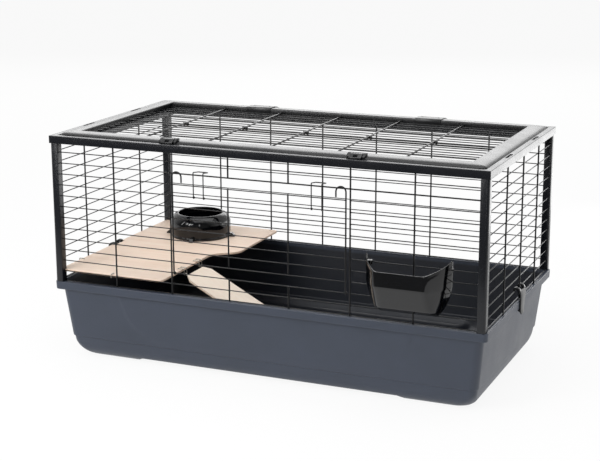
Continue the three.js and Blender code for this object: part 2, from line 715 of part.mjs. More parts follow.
function makePanels() {
  const longHalf = POST_IN_X - GAP;
  const shortHalf = POST_IN_Y - GAP;
  addPiece('wire_panel_front', frontPanel(longHalf).translate([0, FRONT_ROW_Y, 0]), 'wire');
  const rear = turned(plainPanel(longHalf, 6, FRONT_BAR_PITCH, -REAR_BAR_SHIFT), 180);
  addPiece('wire_panel_rear', rear.translate([0, -FRONT_ROW_Y, 0]), 'wire');
  const right = turned(plainPanel(shortHalf, 3, SIDE_BAR_PITCH), 90);
  addPiece('wire_panel_right', right.translate([SIDE_ROW_X, 0, 0]), 'wire');
  const left = turned(plainPanel(shortHalf, 3, SIDE_BAR_PITCH), -90);
  addPiece('wire_panel_left', left.translate([-SIDE_ROW_X, 0, 0]), 'wire');
}

// ---------------------------------------------------------------- front door

const EYE_HOLE = WIRE / Math.SQRT2 + GAP; // round a square row
const DOOR_ROW_Y = FRONT_ROW_Y - DOOR_FORWARD;
const DOOR_ROD_Y = DOOR_ROW_Y - WIRE / 2 - ROD_RADIUS + BAR_BITE;

/** A side rod of the door: up from its eye, with a curl turned in over the row above the door. */
function doorRod(sign) {
  const top = rowZ(DOOR_TOP_ROW - 1) + ROD_RADIUS + 2;
  const x = sign * DOOR_HALF;
  const inner = sign * (DOOR_HALF - 2 * CURL_RADIUS);
  const arc = Array.from({ length: 5 }, (_, i) => {
    const angle = (i / 4) * Math.PI;
    const out = sign * (DOOR_HALF - CURL_RADIUS + CURL_RADIUS * Math.cos(angle));
    return new THREE.Vector3(out, DOOR_ROD_Y, top - CURL_RADIUS + CURL_RADIUS * Math.sin(angle));
  });
  const foot = new THREE.Vector3(x, DOOR_ROD_Y, rowZ(DOOR_HINGE_ROW) - EYE_HOLE);
  const tail = new THREE.Vector3(inner, DOOR_ROD_Y, top - CURL_RADIUS - CURL_TAIL);
  return sweep([foot, ...arc, tail], ROD_RADIUS, 6);
}

function makeDoor() {
  const rows = [];
  for (let number = DOOR_TOP_ROW; number < DOOR_HINGE_ROW; number += 1) {
    const z = rowZ(number);
    rows.push(levelWire(DOOR_HALF + 1, DOOR_ROW_Y, z));
  }
  const barY = DOOR_ROW_Y + WIRE / 2 + ROD_RADIUS - BAR_BITE;
  const bars = [-1, 1].map((sign) => {
    const x = sign * DOOR_BAR_X + DOOR_BAR_SHIFT;
    const low = rowZ(DOOR_HINGE_ROW - 1) - WIRE / 2;
    return bar([x, barY, low], [x, barY, rowZ(DOOR_TOP_ROW) + WIRE / 2], ROD_RADIUS);
  });
  const eyes = [-1, 1].map((sign) => (
    eyeAlongX(sign * DOOR_HALF, FRONT_ROW_Y, rowZ(DOOR_HINGE_ROW), EYE_HOLE)
  ));
  const door = join([...rows, ...bars, ...eyes, doorRod(-1), doorRod(1)]);
  addPiece('front_door', door.translate([DOOR_SHIFT, 0, 0]), 'wire');
}

/** A hoop that turns on a row of the door and hooks back over the wall's row above it. */
function makeHoop(name, centre) {
  const y = DOOR_ROW_Y - EYE_HOLE - HOOP_RADIUS;
  const z = rowZ(HOOP_ROW);
  const half = HOOP_WIDTH / 2;
  const legs = [-1, 1].map((sign) => {
    const x = centre + sign * half;
    return sweep([
      new THREE.Vector3(x, y, z - EYE_HOLE),
      new THREE.Vector3(x, y, z + HOOP_RISE - 2),
      new THREE.Vector3(x, y + 2, z + HOOP_RISE),
      new THREE.Vector3(x, DOOR_ROW_Y + HOOP_REACH, z + HOOP_RISE - HOOP_DIP),
    ], HOOP_RADIUS, 6);
  });
  const backY = DOOR_ROW_Y + HOOP_REACH - HOOP_RADIUS;
  const backZ = z + HOOP_RISE - HOOP_DIP + 0.3;
  const cross = bar([centre - half - 0.5, backY, backZ], [centre + half + 0.5, backY, backZ], HOOP_RADIUS);
  const eyes = [-1, 1].map((sign) => eyeAlongX(centre + sign * half, DOOR_ROW_Y, z, EYE_HOLE, 3, 1.8));
  addPiece(`door_hoop_${name}`, join([...legs, cross, ...eyes]), 'wire');
}

// ---------------------------------------------------------------- lid

/** A hollow-backed ring round the lid: its top falls to the outside and its inner face is upright. */
function makeLidRing() {
  const low = LID_Z;
  const top = LID_Z + LID_CROWN;
  const levelsOut = [
    [0, low], [0, top - 6.5], [2.2, top - 4], [8, top - 1.6], [16, top - 0.2], [LID_RING_WIDTH - 3, top],
    [LID_RING_WIDTH - 0.8, top - 0.8], [LID_RING_WIDTH, top - 2.4], [LID_RING_WIDTH, low],
  ];
  const levelsIn = [
    [LID_RING_WIDTH - LID_SHELL, low - 0.01], [LID_RING_WIDTH - LID_SHELL, top - 3],
    [16, top - 3], [LID_SHELL + 1.5, top - 6.6], [LID_SHELL, low - 0.01],
  ];
  const ringAt = ([inset, z]) => roundedRing(
    HALF_X - LID_INSET - inset,
    HALF_Y - LID_INSET - inset,
    Math.max(LID_CORNER - inset, 3),
    z,
    3,
  );
  addPiece('lid_ring', closedLoft([...levelsOut, ...levelsIn].map(ringAt)), 'frame');
}

/** A solid through rings of points whose last ring joins the first, as round a frame. */
function closedLoft(rings) {
  const count = rings[0].length;
  const positions = rings.flat().flatMap((point) => [point.x, point.y, point.z]);
  const triangles = [];
  for (let ring = 0; ring < rings.length; ring += 1) {
    const next = ((ring + 1) % rings.length) * count;
    for (let k = 0; k < count; k += 1) {
      const a = ring * count + k;
      const b = ring * count + ((k + 1) % count);
      const c = next + ((k + 1) % count);
      triangles.push(a, b, c, a, c, next + k);
    }
  }
  const geometry = new THREE.BufferGeometry();
  geometry.setAttribute('position', new THREE.Float32BufferAttribute(positions, 3));
  geometry.setIndex(signedVolume(positions, triangles) < 0 ? triangles.reverse() : triangles);
  return solid(geometry);
}

/** The lid's welded grille, with its stout middle rod. */
function makeLidGrille() {
  const z = LID_Z + LID_WIRE_HEIGHT;
  const reachX = LID_INNER_X - GAP;
  const reachY = LID_INNER_Y - GAP;
  const rows = [];
  for (let k = -LID_ROWS_EACH_SIDE; k <= LID_ROWS_EACH_SIDE; k += 1) {
    const y = k * ROW_PITCH;
    if (k !== 0) rows.push(levelWire(reachX, y, z));
  }
  const barZ = z + BAR_OFFSET;
  const bars = [];
  for (let k = -LID_BARS_EACH_SIDE; k <= LID_BARS_EACH_SIDE; k += 1) {
    bars.push(bar([k * LID_BAR_PITCH, -reachY, barZ], [k * LID_BAR_PITCH, reachY, barZ], BAR_RADIUS));
  }
  const rodZ = barZ - BAR_RADIUS - LID_ROD_RADIUS + BAR_BITE;
  rows.push(bar([-reachX, 0, rodZ], [reachX, 0, rodZ], LID_ROD_RADIUS));
  addPiece('lid_grille', join([...rows, ...bars, ...lidRodClips(rodZ)]), 'wire');
}

/** The collars that tie the lid's bars to its middle rod. */
function lidRodClips(z) {
  const clips = [];
  for (let k = -LID_BARS_EACH_SIDE; k <= LID_BARS_EACH_SIDE; k += 1) {
    const from = k * LID_BAR_PITCH - LID_CLIP_LENGTH / 2;
    clips.push(bar([from, 0, z + 1], [from + LID_CLIP_LENGTH, 0, z + 1], LID_CLIP_RADIUS, 8));
  }
  return clips;
}

/** The moving leaf's section: from the axis over the lid's ring, and down inside it. */
function hingeSaddle() {
  const edge = HALF_Y - LID_INSET;
  const top = LID_Z + LID_CROWN + HINGE_CLEARANCE;
  const inner = LID_INNER_Y - HINGE_CLEARANCE;
  const foot = LID_Z + HINGE_FLAP_FOOT;
  const under = [
    [HINGE_Y - HINGE_PIN, HINGE_Z - 0.5], [edge - 2, top - 3.9], [edge - 8, top - 1.6],
    [edge - 16, top - 0.2], [inner + 2.8, top], [inner + 0.6, top - 0.9], [inner, top - 2.6], [inner, foot],
  ];
  const over = [
    [inner - HINGE_LEAF, foot], [inner - HINGE_LEAF, top - 2.2], [inner - 0.4, top + 0.7],
    [inner + 2.4, top + HINGE_LEAF], [edge - 16, top + HINGE_LEAF - 0.2], [edge - 8.6, top + 0.2],
    [edge - 2.6, top - 2.1], [HINGE_Y - HINGE_PIN, HINGE_Z + HINGE_BARREL - 0.5],
  ];
  return [...under, ...over];
}

/** One lid hinge: a fixed leaf on the rear rail, a moving leaf over the lid's ring and a pin. */
function makeLidHinge(name, x) {
  const knuckle = HINGE_LENGTH / 4;
  const hole = HINGE_PIN + GAP;
  const edge = HINGE_LENGTH / 2;
  const barrel = (middle, length) => (
    eyeAlongX(x + middle, HINGE_Y, HINGE_Z, hole, length, HINGE_BARREL - hole)
  );
  const leafZ = LEDGE_Z + GAP;
  const behind = HINGE_Y + HINGE_BARREL + GAP;
  const pinRoom = bar([x - edge - 1, HINGE_Y, HINGE_Z], [x + edge + 1, HINGE_Y, HINGE_Z], hole, 8);
  const foot = block([x - edge, behind, leafZ], [x + edge, HALF_Y - 1, leafZ + HINGE_LEAF]);
  const fixed = [-1, 1].flatMap((sign) => {
    const middle = sign * (edge - knuckle / 2);
    const web = block(
      [x + middle - knuckle / 2, HINGE_Y + 0.6, leafZ],
      [x + middle + knuckle / 2, behind + 0.5, HINGE_Z],
    );
    return [barrel(middle, knuckle), web.subtract(pinRoom)];
  });
  addPiece(`lid_hinge_leaf_fixed_${name}`, join([foot, ...fixed]), 'clip');
  const middleLength = HINGE_LENGTH - 2 * knuckle - 2 * GAP;
  const knuckleRoom = [-1, 1].map((sign) => {
    const ends = [x + sign * middleLength / 2, x + sign * (edge + 1)];
    const front = HINGE_Y - HINGE_BARREL - GAP;
    return block([Math.min(...ends), front, LID_Z], [Math.max(...ends), HALF_Y, HINGE_Z + 2 * HINGE_BARREL]);
  });
  const saddle = [pinRoom, ...knuckleRoom].reduce(
    (rest, room) => rest.subtract(room),
    prismAlongX(hingeSaddle(), x, HINGE_LENGTH),
  );
  addPiece(`lid_hinge_leaf_moving_${name}`, join([saddle, barrel(0, middleLength)]), 'clip');
  const pin = bar([x - edge, HINGE_Y, HINGE_Z], [x + edge, HINGE_Y, HINGE_Z], HINGE_PIN, 8);
  addPiece(`lid_hinge_pin_${name}`, pin, 'hook');
}

/** One lid latch: two ears on the lid's ring, and between them a catch that reaches over the rail. */
function makeLidLatch(name, x) {
  const edge = -(HALF_Y - LID_INSET);
  const y = edge + LATCH_INSET;
  const crown = LID_Z + LID_CROWN;
  const z = crown + LATCH_RISE;
  const ledge = LEDGE_Z + 2 * GAP;
  const half = LATCH_WIDTH / 2;
  const outer = half + GAP + LATCH_EAR;
  const overRing = [
    [edge - 0.3, ledge], [edge + 1.8, crown - 3.5], [edge + 7.8, crown - 1], [edge + 16.9, crown + 0.6],
  ];
  const ear = [
    [y - LATCH_REACH + LATCH_LIP, ledge], ...overRing, [edge + 16.9, z + 1], [y + 1, z + 2.4],
    [y - 5, z + 1.8], [y - LATCH_REACH + LATCH_LIP, ledge + 4.4],
  ];
  const pinRoom = bar([x - outer - 1, y, z], [x + outer + 1, y, z], LATCH_TRUNNION + GAP, 8);
  const ears = [-1, 1].map((sign) => (
    prismAlongX(ear, x + sign * (half + GAP + LATCH_EAR / 2), LATCH_EAR).subtract(pinRoom)
  ));
  const bridge = block([x - outer, edge + 17.2, crown + 0.6], [x + outer, edge + 19.6, z + 0.4]);
  const tie = block([x - outer, edge + 16.5, crown + 0.6], [x - half - GAP, edge + 18, z + 0.4]);
  const base = join([...ears, bridge, tie, tie.mirror([1, 0, 0]).translate([2 * x, 0, 0])]);
  addPiece(`lid_latch_base_${name}`, base, 'clip');
  const front = y - LATCH_REACH;
  const catchProfile = [
    [front, ledge], ...overRing.slice(0, 3), [y, z - LATCH_BARREL + 0.2], [y + 0.8, z + LATCH_BARREL - 0.6],
    [y - 9, z + 1.4], [front + 2, ledge + 4], [front, ledge + 2.6],
  ];
  const [windowX, windowY] = LATCH_WINDOW;
  const sill = front + 1.6;
  const window = block([x - windowX / 2, sill, ledge - 1], [x + windowX / 2, sill + windowY, z + 9]);
  const plate = prismAlongX(catchProfile, x, LATCH_WIDTH).subtract(window);
  const barrel = bar([x - half, y, z], [x + half, y, z], LATCH_BARREL, 8);
  const trunnions = bar([x - outer, y, z], [x + outer, y, z], LATCH_TRUNNION, 8);
  addPiece(`lid_latch_${name}`, join([plate, barrel, trunnions]), 'clip');
}

// ---------------------------------------------------------------- side clips

/** A clip that hangs from the lowest regular row at one end and snaps under the tub's lip. */
function makeSideClip(name, sign) {
  const wireX = SIDE_ROW_X;
  const wireZ = rowZ(ROW_COUNT);
  const hole = EYE_HOLE;
  const lipX = HALF_X + RIM_OVERHANG_X;
  const lipZ = RIM_Z - LIP_DEPTH;
  const inner = lipX + GAP;
  const outer = inner + CLIP_THICKNESS;
  const blade = [
    [inner, lipZ - 1], [inner, RIM_Z + 4], [wireX + 8.4, wireZ - 8], [wireX + 8.4, wireZ - 1],
    [wireX + 11, wireZ - 1], [outer + 1.5, RIM_Z + 4], [outer, lipZ - 2],
    [outer + 1, lipZ - CLIP_TAIL + 0.6], [outer, lipZ - CLIP_TAIL], [inner - 0.3, lipZ - CLIP_TAIL * 0.6],
    [inner - CLIP_CATCH, lipZ - 4], [inner - CLIP_CATCH, lipZ - 1],
  ];
  const taper = [
    [-CLIP_FOOT_WIDTH / 2, lipZ - CLIP_TAIL - 1], [CLIP_FOOT_WIDTH / 2, lipZ - CLIP_TAIL - 1],
    [CLIP_WIDTH / 2, wireZ + 1], [-CLIP_WIDTH / 2, wireZ + 1],
  ];
  const plate = prismAlongY(blade, 0, CLIP_WIDTH).intersect(prismAlongX(taper, outer, CLIP_WIDTH));
  const finger = [
    [wireX + 8.4, wireZ - 8], [wireX + 8.4, wireZ + 1], [wireX + 5, wireZ + 5.5], [wireX, wireZ + 7],
    [wireX - 3.5, wireZ + 5.8], [wireX - 5, wireZ + 2.5], [wireX - 5, wireZ - 1.5],
    [wireX - hole, wireZ - 1.5], [wireX - hole, wireZ + 1.2], [wireX - 1, wireZ + hole + 0.3],
    [wireX + 1.4, wireZ + hole - 0.1], [wireX + 4, wireZ], [wireX + 5.6, wireZ - 6],
  ];
  const hooks = [-1, 1].map((side) => (
    prismAlongY(finger, side * (CLIP_WIDTH - CLIP_HOOK_WIDTH) / 2, CLIP_HOOK_WIDTH)
  ));
  const clip = join([plate, ...hooks]);
  addPiece(`side_clip_${name}`, sign < 0 ? turned(clip, 180) : clip, 'clip');
}

// ---------------------------------------------------------------- platform and ramp

/** The platform's outline, with cut corners at the posts and a wave in its free edge. */
function platformShape() {
  const left = PLATFORM_LEFT;
  const frontEdge = left + PLATFORM_FRONT_WIDTH;
  const rearEdge = left + PLATFORM_REAR_WIDTH;
  const half = PLATFORM_HALF_Y;
  const postX = -POST_IN_X + GAP;
  const postY = POST_IN_Y - GAP;
  const round = PLATFORM_ROUND;
  const middle = (WAVE_START + WAVE_END) / 2;
  const notch = CLIP_WIDTH / 2 + 2;
  const shape = new THREE.Shape();
  shape.moveTo(postX, -half);
  shape.lineTo(frontEdge - round, -half);
  shape.absarc(frontEdge - round, -half + round, round, -Math.PI / 2, 0);
  shape.lineTo(frontEdge, WAVE_START);
  shape.bezierCurveTo(frontEdge, middle, rearEdge, middle, rearEdge, WAVE_END);
  shape.lineTo(rearEdge, half - round);
  shape.absarc(rearEdge - round, half - round, round, 0, Math.PI / 2);
  shape.lineTo(postX, half);
  shape.lineTo(postX, postY);
  shape.lineTo(left, postY);
  shape.lineTo(left, notch);
  shape.lineTo(left + CLIP_NOTCH, notch);
  shape.lineTo(left + CLIP_NOTCH, -notch);
  shape.lineTo(left, -notch);
  shape.lineTo(left, -postY);
  shape.lineTo(postX, -postY);
  return shape;
}

/** A staple that holds the platform to a row: through the board, over its edge and down outside. */
function stapleAlong([holeX, holeY], [outX, outY]) {
  const top = PLATFORM_Z + BOARD + GAP + HOOK_WIRE;
  return bentWire([
    [holeX, holeY, PLATFORM_Z - 2.5],
    [holeX, holeY, top],
    [outX, outY, top],
    [outX, outY, top - HOOK_DROP - HOOK_WIRE],
  ], HOOK_WIRE, 1.6);
}

/** Where each platform staple passes through the board, and where it hangs outside the row. */
function staplePlaces() {
  const clear = WIRE / 2 + GAP + HOOK_WIRE;
  const frontY = -FRONT_ROW_Y;
  return {
    front: [[PLATFORM_HOOK_X, -frontY + HOOK_INSET], [PLATFORM_HOOK_X, -frontY - clear]],
    rear: [[PLATFORM_HOOK_X, frontY - HOOK_INSET], [PLATFORM_HOOK_X, frontY + clear]],
    left_front: [[-SIDE_ROW_X + HOOK_INSET, -PLATFORM_HOOK_Y], [-SIDE_ROW_X - clear, -PLATFORM_HOOK_Y]],
    left_rear: [[-SIDE_ROW_X + HOOK_INSET, PLATFORM_HOOK_Y], [-SIDE_ROW_X - clear, PLATFORM_HOOK_Y]],
  };
}

/** The places along Y of the ramp's two hinge wires. */
function rampEyes() {
  return [RAMP_MIDDLE_Y - RAMP_EYE_SPREAD / 2, RAMP_MIDDLE_Y + RAMP_EYE_SPREAD / 2];
}

function makePlatform() {
  const options = { depth: BOARD, bevelEnabled: false, curveSegments: 8 };
  const bare = new THREE.ExtrudeGeometry(platformShape(), options);
  const board = solid(bare.translate(0, 0, PLATFORM_Z));
  const staples = Object.values(staplePlaces()).map(([hole]) => hole);
  const hangers = rampEyes().flatMap((y) => (
    [-1, 1].map((side) => [hangerX(), y + side * RAMP_HOOK_WIDTH / 2])
  ));
  const drilled = [...staples, ...hangers].reduce((rest, [x, y]) => (
    rest.subtract(bar([x, y, PLATFORM_Z - 1], [x, y, PLATFORM_Z + BOARD + 1], HOOK_WIRE + GAP + 0.2, 6))
  ), board);
  addPiece('platform', drilled, 'platform');
  Object.entries(staplePlaces()).forEach(([name, [hole, out]]) => {
    addPiece(`platform_hook_${name}`, stapleAlong(hole, out), 'hook');
  });
}

/** Where the ramp's hangers pass through the platform. */
function hangerX() {
  return RAMP_AXIS_X - RAMP_AXIS_OUT - HOOK_INSET;
}

/** A hanger: two legs through the platform, over its edge and down to a level hinge wire. */
function makeRampHanger(name, y) {
  const top = PLATFORM_Z + BOARD + GAP + HOOK_WIRE;
  const half = RAMP_HOOK_WIDTH / 2;
  const legs = [-1, 1].map((side) => bentWire([
    [hangerX(), y + side * half, PLATFORM_Z - 2.5],
    [hangerX(), y + side * half, top],
    [RAMP_AXIS_X, y + side * half, top],
    [RAMP_AXIS_X, y + side * half, RAMP_AXIS_Z - HOOK_WIRE / 2],
  ], HOOK_WIRE, 1.6));
  const ends = [y - half - 0.5, y + half + 0.5].map((end) => [RAMP_AXIS_X, end, RAMP_AXIS_Z]);
  const pin = bar(...ends, HOOK_WIRE);
  addPiece(`ramp_hanger_${name}`, join([...legs, pin]), 'hook');
}

/** The ramp's board, built level from its hinge wire and then let down to the tub's floor. */
function makeRamp() {
  const slope = radians(RAMP_ANGLE);
  const fall = RAMP_AXIS_Z - TUB_FLOOR_Z - GAP;
  const top = BOARD / 2;
  const length = (fall - top * Math.cos(slope)) / Math.sin(slope);
  const half = RAMP_WIDTH / 2;
  const shape = new THREE.Shape();
  shape.moveTo(RAMP_END_GAP, -half + RAMP_CHAMFER);
  shape.lineTo(RAMP_END_GAP + RAMP_CHAMFER, -half);
  shape.lineTo(length, -half);
  shape.lineTo(length, half);
  shape.lineTo(RAMP_END_GAP + RAMP_CHAMFER, half);
  shape.lineTo(RAMP_END_GAP, half - RAMP_CHAMFER);
  const bare = new THREE.ExtrudeGeometry(shape, { depth: BOARD, bevelEnabled: false });
  const board = solid(bare.translate(0, RAMP_MIDDLE_Y, -BOARD / 2));
  const lowered = (body) => body.rotate([0, RAMP_ANGLE, 0]).translate([RAMP_AXIS_X, 0, RAMP_AXIS_Z]);
  const hole = HOOK_WIRE + GAP;
  const eyes = rampEyes().map((y) => rampEye(y, hole));
  const room = eyes.reduce((rest, eye) => rest.subtract(eye.room), board);
  addPiece('ramp', lowered(room), 'ramp');
  ['front', 'rear'].forEach((name, i) => {
    makeRampHanger(name, rampEyes()[i]);
    addPiece(`ramp_eye_${name}`, lowered(eyes[i].body), 'hook');
  });
}

/** A screw eye on the ramp's end, and the room that its shank needs in the board. */
function rampEye(y, hole) {
  const wall = 1.5;
  const shape = new THREE.Shape().absarc(0, 0, hole + wall, 0, 2 * Math.PI);
  shape.holes.push(new THREE.Path().absarc(0, 0, hole, 0, 2 * Math.PI, true));
  const bare = new THREE.ExtrudeGeometry(shape, { depth: 2.4, bevelEnabled: false, curveSegments: 8 });
  const ring = solid(bare.rotateX(Math.PI / 2).translate(0, y + 1.2, 0));
  const shank = bar([hole + wall - 0.4, y, 0], [RAMP_END_GAP + 14, y, 0], HOOK_WIRE);
  const room = bar([RAMP_END_GAP - 1, y, 0], [RAMP_END_GAP + 14 + GAP, y, 0], HOOK_WIRE + GAP);
  return { body: ring.add(shank), room };
}

// ---------------------------------------------------------------- bowl and hay rack

function makeBowl() {
  const foot = BOWL_RADIUS - 1;
  const high = BOWL_HEIGHT;
  const inside = BOWL_RADIUS - BOWL_WALL;
  const profile = [
    [0, 2], [foot - 12, 2], [foot - 10, 0], [foot, 0], [foot + 0.5, 4], [BOWL_RADIUS - 2, 7],
    [BOWL_RADIUS, 10], [BOWL_RADIUS + 0.5, high - 22], [BOWL_RADIUS - 2.5, high - 12],
    [BOWL_RADIUS - 9, high - 4], [BOWL_MOUTH + 4, high - 0.2], [BOWL_MOUTH + 1, high], [BOWL_MOUTH, high - 1.6],
    [BOWL_MOUTH + 3, high - 4], [inside - 6, high - 10], [inside, high - BOWL_SHOULDER],
    [inside - 1, BOWL_HEEL], [inside - 9, BOWL_HEEL / 2], [0, 2 * BOWL_WALL],
  ];
  const lathe = new THREE.LatheGeometry(profile.map(([r, z]) => new THREE.Vector2(r, z)), 24);
  const body = solid(lathe.rotateX(Math.PI / 2));
  const tab = [
    [BOWL_RADIUS - 6, 0], [BOWL_TAB_REACH, 0], [BOWL_TAB_REACH, 3], [BOWL_RADIUS + 7, 9],
    [BOWL_RADIUS - 2, 9.5],
  ];
  const tabs = [0, 1, 2, 3].map((quarter) => turned(prismAlongY(tab, 0, 9), BOWL_TAB_TURN + 90 * quarter));
  const whole = join([body, ...tabs]);
  addPiece('food_bowl', whole.translate([BOWL_X, BOWL_Y, PLATFORM_Z + BOARD + GAP]), 'gloss');
}

/** One level of the hay rack in plan: open towards the wires, narrower at its front. */
function rackRing(backHalf, frontHalf, depth, z, backY) {
  const frontY = backY - depth;
  const bend = Math.min(5, depth / 4);
  const right = [
    [backHalf, backY], [backHalf - (backHalf - frontHalf) * 0.3, backY - depth * 0.45],
    [frontHalf + bend * 0.8, frontY + bend], [frontHalf - bend, frontY],
  ];
  const left = right.map(([x, y]) => [-x, y]).reverse();
  return [...right, ...left].map(([x, y]) => new THREE.Vector3(RACK_X + x, y, z)).reverse();
}

/** The hay rack's levels as [height over the rim, half width at the wires, at the front, depth]. */
function rackLevels() {
  return [
    [RACK_BOTTOM, RACK_BACK_HALF - 29, RACK_FRONT_HALF + 4, 3],
    [RACK_LIP, RACK_BACK_HALF - 18, RACK_FRONT_HALF + 4, RACK_LIP_DEPTH],
    [RACK_LIP + 15, RACK_BACK_HALF - 10, RACK_FRONT_HALF + 3, RACK_LIP_DEPTH + 9.3],
    [RACK_LIP + 32, RACK_BACK_HALF - 4, RACK_FRONT_HALF + 1.5, RACK_LIP_DEPTH + 19.9],
    [RACK_CREASE, RACK_BACK_HALF, RACK_FRONT_HALF, RACK_DEPTH],
    [RACK_FRONT_TOP, RACK_BACK_HALF, RACK_FRONT_HALF - 0.5, RACK_DEPTH],
    [RACK_BACK_TOP, RACK_BACK_HALF - 7, RACK_FRONT_HALF - 1, RACK_DEPTH],
  ];
}

function makeHayRack() {
  const backY = RACK_REAR_Y;
  const levels = rackLevels();
  const outside = loft(levels.map(([z, back, front, depth]) => (
    rackRing(back, front, depth, RIM_Z + z, backY)
  )));
  const insideLevels = levels.map(([z, back, front, depth], i) => {
    const lift = i === 0 ? RACK_WALL * 1.6 : 0;
    const over = i === levels.length - 1 ? 4 : 0;
    const deep = Math.max(depth - RACK_WALL, 1);
    return rackRing(back - RACK_WALL, front - RACK_WALL, deep + 1, RIM_Z + z + lift + over, backY + 1);
  });
  const over = RIM_Z + RACK_BACK_TOP + RACK_DEPTH;
  const slant = [
    [backY + 3, RIM_Z + RACK_BACK_TOP], [backY + 3, over],
    [backY - RACK_DEPTH - 5, over], [backY - RACK_DEPTH - 5, RIM_Z + RACK_FRONT_TOP],
    [backY - RACK_DEPTH + 3, RIM_Z + RACK_FRONT_TOP],
  ];
  const shell = outside.subtract(loft(insideLevels)).subtract(prismAlongX(slant, RACK_X, 3 * RACK_BACK_HALF));
  const rowTop = rowZ(RACK_HOOK_ROW) + WIRE / 2 + GAP;
  const behind = FRONT_ROW_Y + WIRE / 2 + GAP;
  const hook = [
    [backY - RACK_HOOK_ROOT, rowTop - RACK_HOOK_DROP], [backY, rowTop - RACK_HOOK_DROP], [backY, rowTop],
    [behind, rowTop], [behind, rowTop - RACK_HOOK_DROP], [behind + RACK_WALL, rowTop - RACK_HOOK_DROP],
    [behind + RACK_WALL, rowTop + RACK_WALL], [backY - RACK_HOOK_ROOT, rowTop + RACK_WALL],
  ];
  const hooks = [-1, 1].map((side) => prismAlongX(hook, RACK_X + side * RACK_HOOK_SPREAD, RACK_HOOK_WIDTH));
  addPiece('hay_rack', join([shell, ...hooks]), 'gloss');
}

// ---------------------------------------------------------------- assembly

makeTub();
makeFrame();
makePanels();
makeDoor();
['left', 'right'].forEach((name, i) => makeHoop(name, HOOP_CENTRES[i]));
makeLidRing();
makeLidGrille();
[['left', -1], ['right', 1]].forEach(([name, sign]) => {
  makeLidHinge(name, sign * HINGE_X);
  makeLidLatch(name, sign * HINGE_X);
  makeSideClip(name, sign);
});
makePlatform();
makeRamp();
makeBowl();
makeHayRack();

export default cage;
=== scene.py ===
"""The look of the ferret cage: every shown piece, its finish, the studio and the camera.

Sizes are millimetres from the ground under the middle of the tub, with +Z up and the front at -Y.
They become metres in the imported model's frame when a mesh is made.
"""

from __future__ import annotations

import logging
import math
from collections.abc import Callable, Iterable, Sequence
from dataclasses import dataclass, field
from enum import Enum

import bmesh
import bpy
from mathutils import Matrix, Vector

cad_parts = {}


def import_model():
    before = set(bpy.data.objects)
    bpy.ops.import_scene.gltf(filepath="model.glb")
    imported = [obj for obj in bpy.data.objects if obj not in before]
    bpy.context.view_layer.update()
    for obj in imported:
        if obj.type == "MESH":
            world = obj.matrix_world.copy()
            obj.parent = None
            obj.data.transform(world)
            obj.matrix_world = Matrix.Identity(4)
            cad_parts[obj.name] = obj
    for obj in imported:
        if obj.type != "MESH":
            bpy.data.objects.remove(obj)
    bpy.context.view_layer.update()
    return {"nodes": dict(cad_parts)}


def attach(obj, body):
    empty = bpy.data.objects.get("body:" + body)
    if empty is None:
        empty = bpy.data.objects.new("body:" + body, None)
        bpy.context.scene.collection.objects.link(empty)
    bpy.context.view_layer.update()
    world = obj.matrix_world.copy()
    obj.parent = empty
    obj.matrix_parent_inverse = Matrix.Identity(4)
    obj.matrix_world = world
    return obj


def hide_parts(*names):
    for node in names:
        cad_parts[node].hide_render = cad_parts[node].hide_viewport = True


LOG = logging.getLogger("ferret_cage")
MM = 0.001

Outline = Sequence[tuple[float, float]]
Ring = list[Vector]


# ------------------------------------------------------------------ shared sizes


class Side(Enum):
    """The two ends of the cage, by the sign of X."""

    LEFT = -1
    RIGHT = 1

    @property
    def word(self) -> str:
        """The name used in piece names."""
        return self.name.lower()


class Axis(Enum):
    """The direction a prism or an eye runs in."""

    X = 0
    Y = 1
    Z = 2


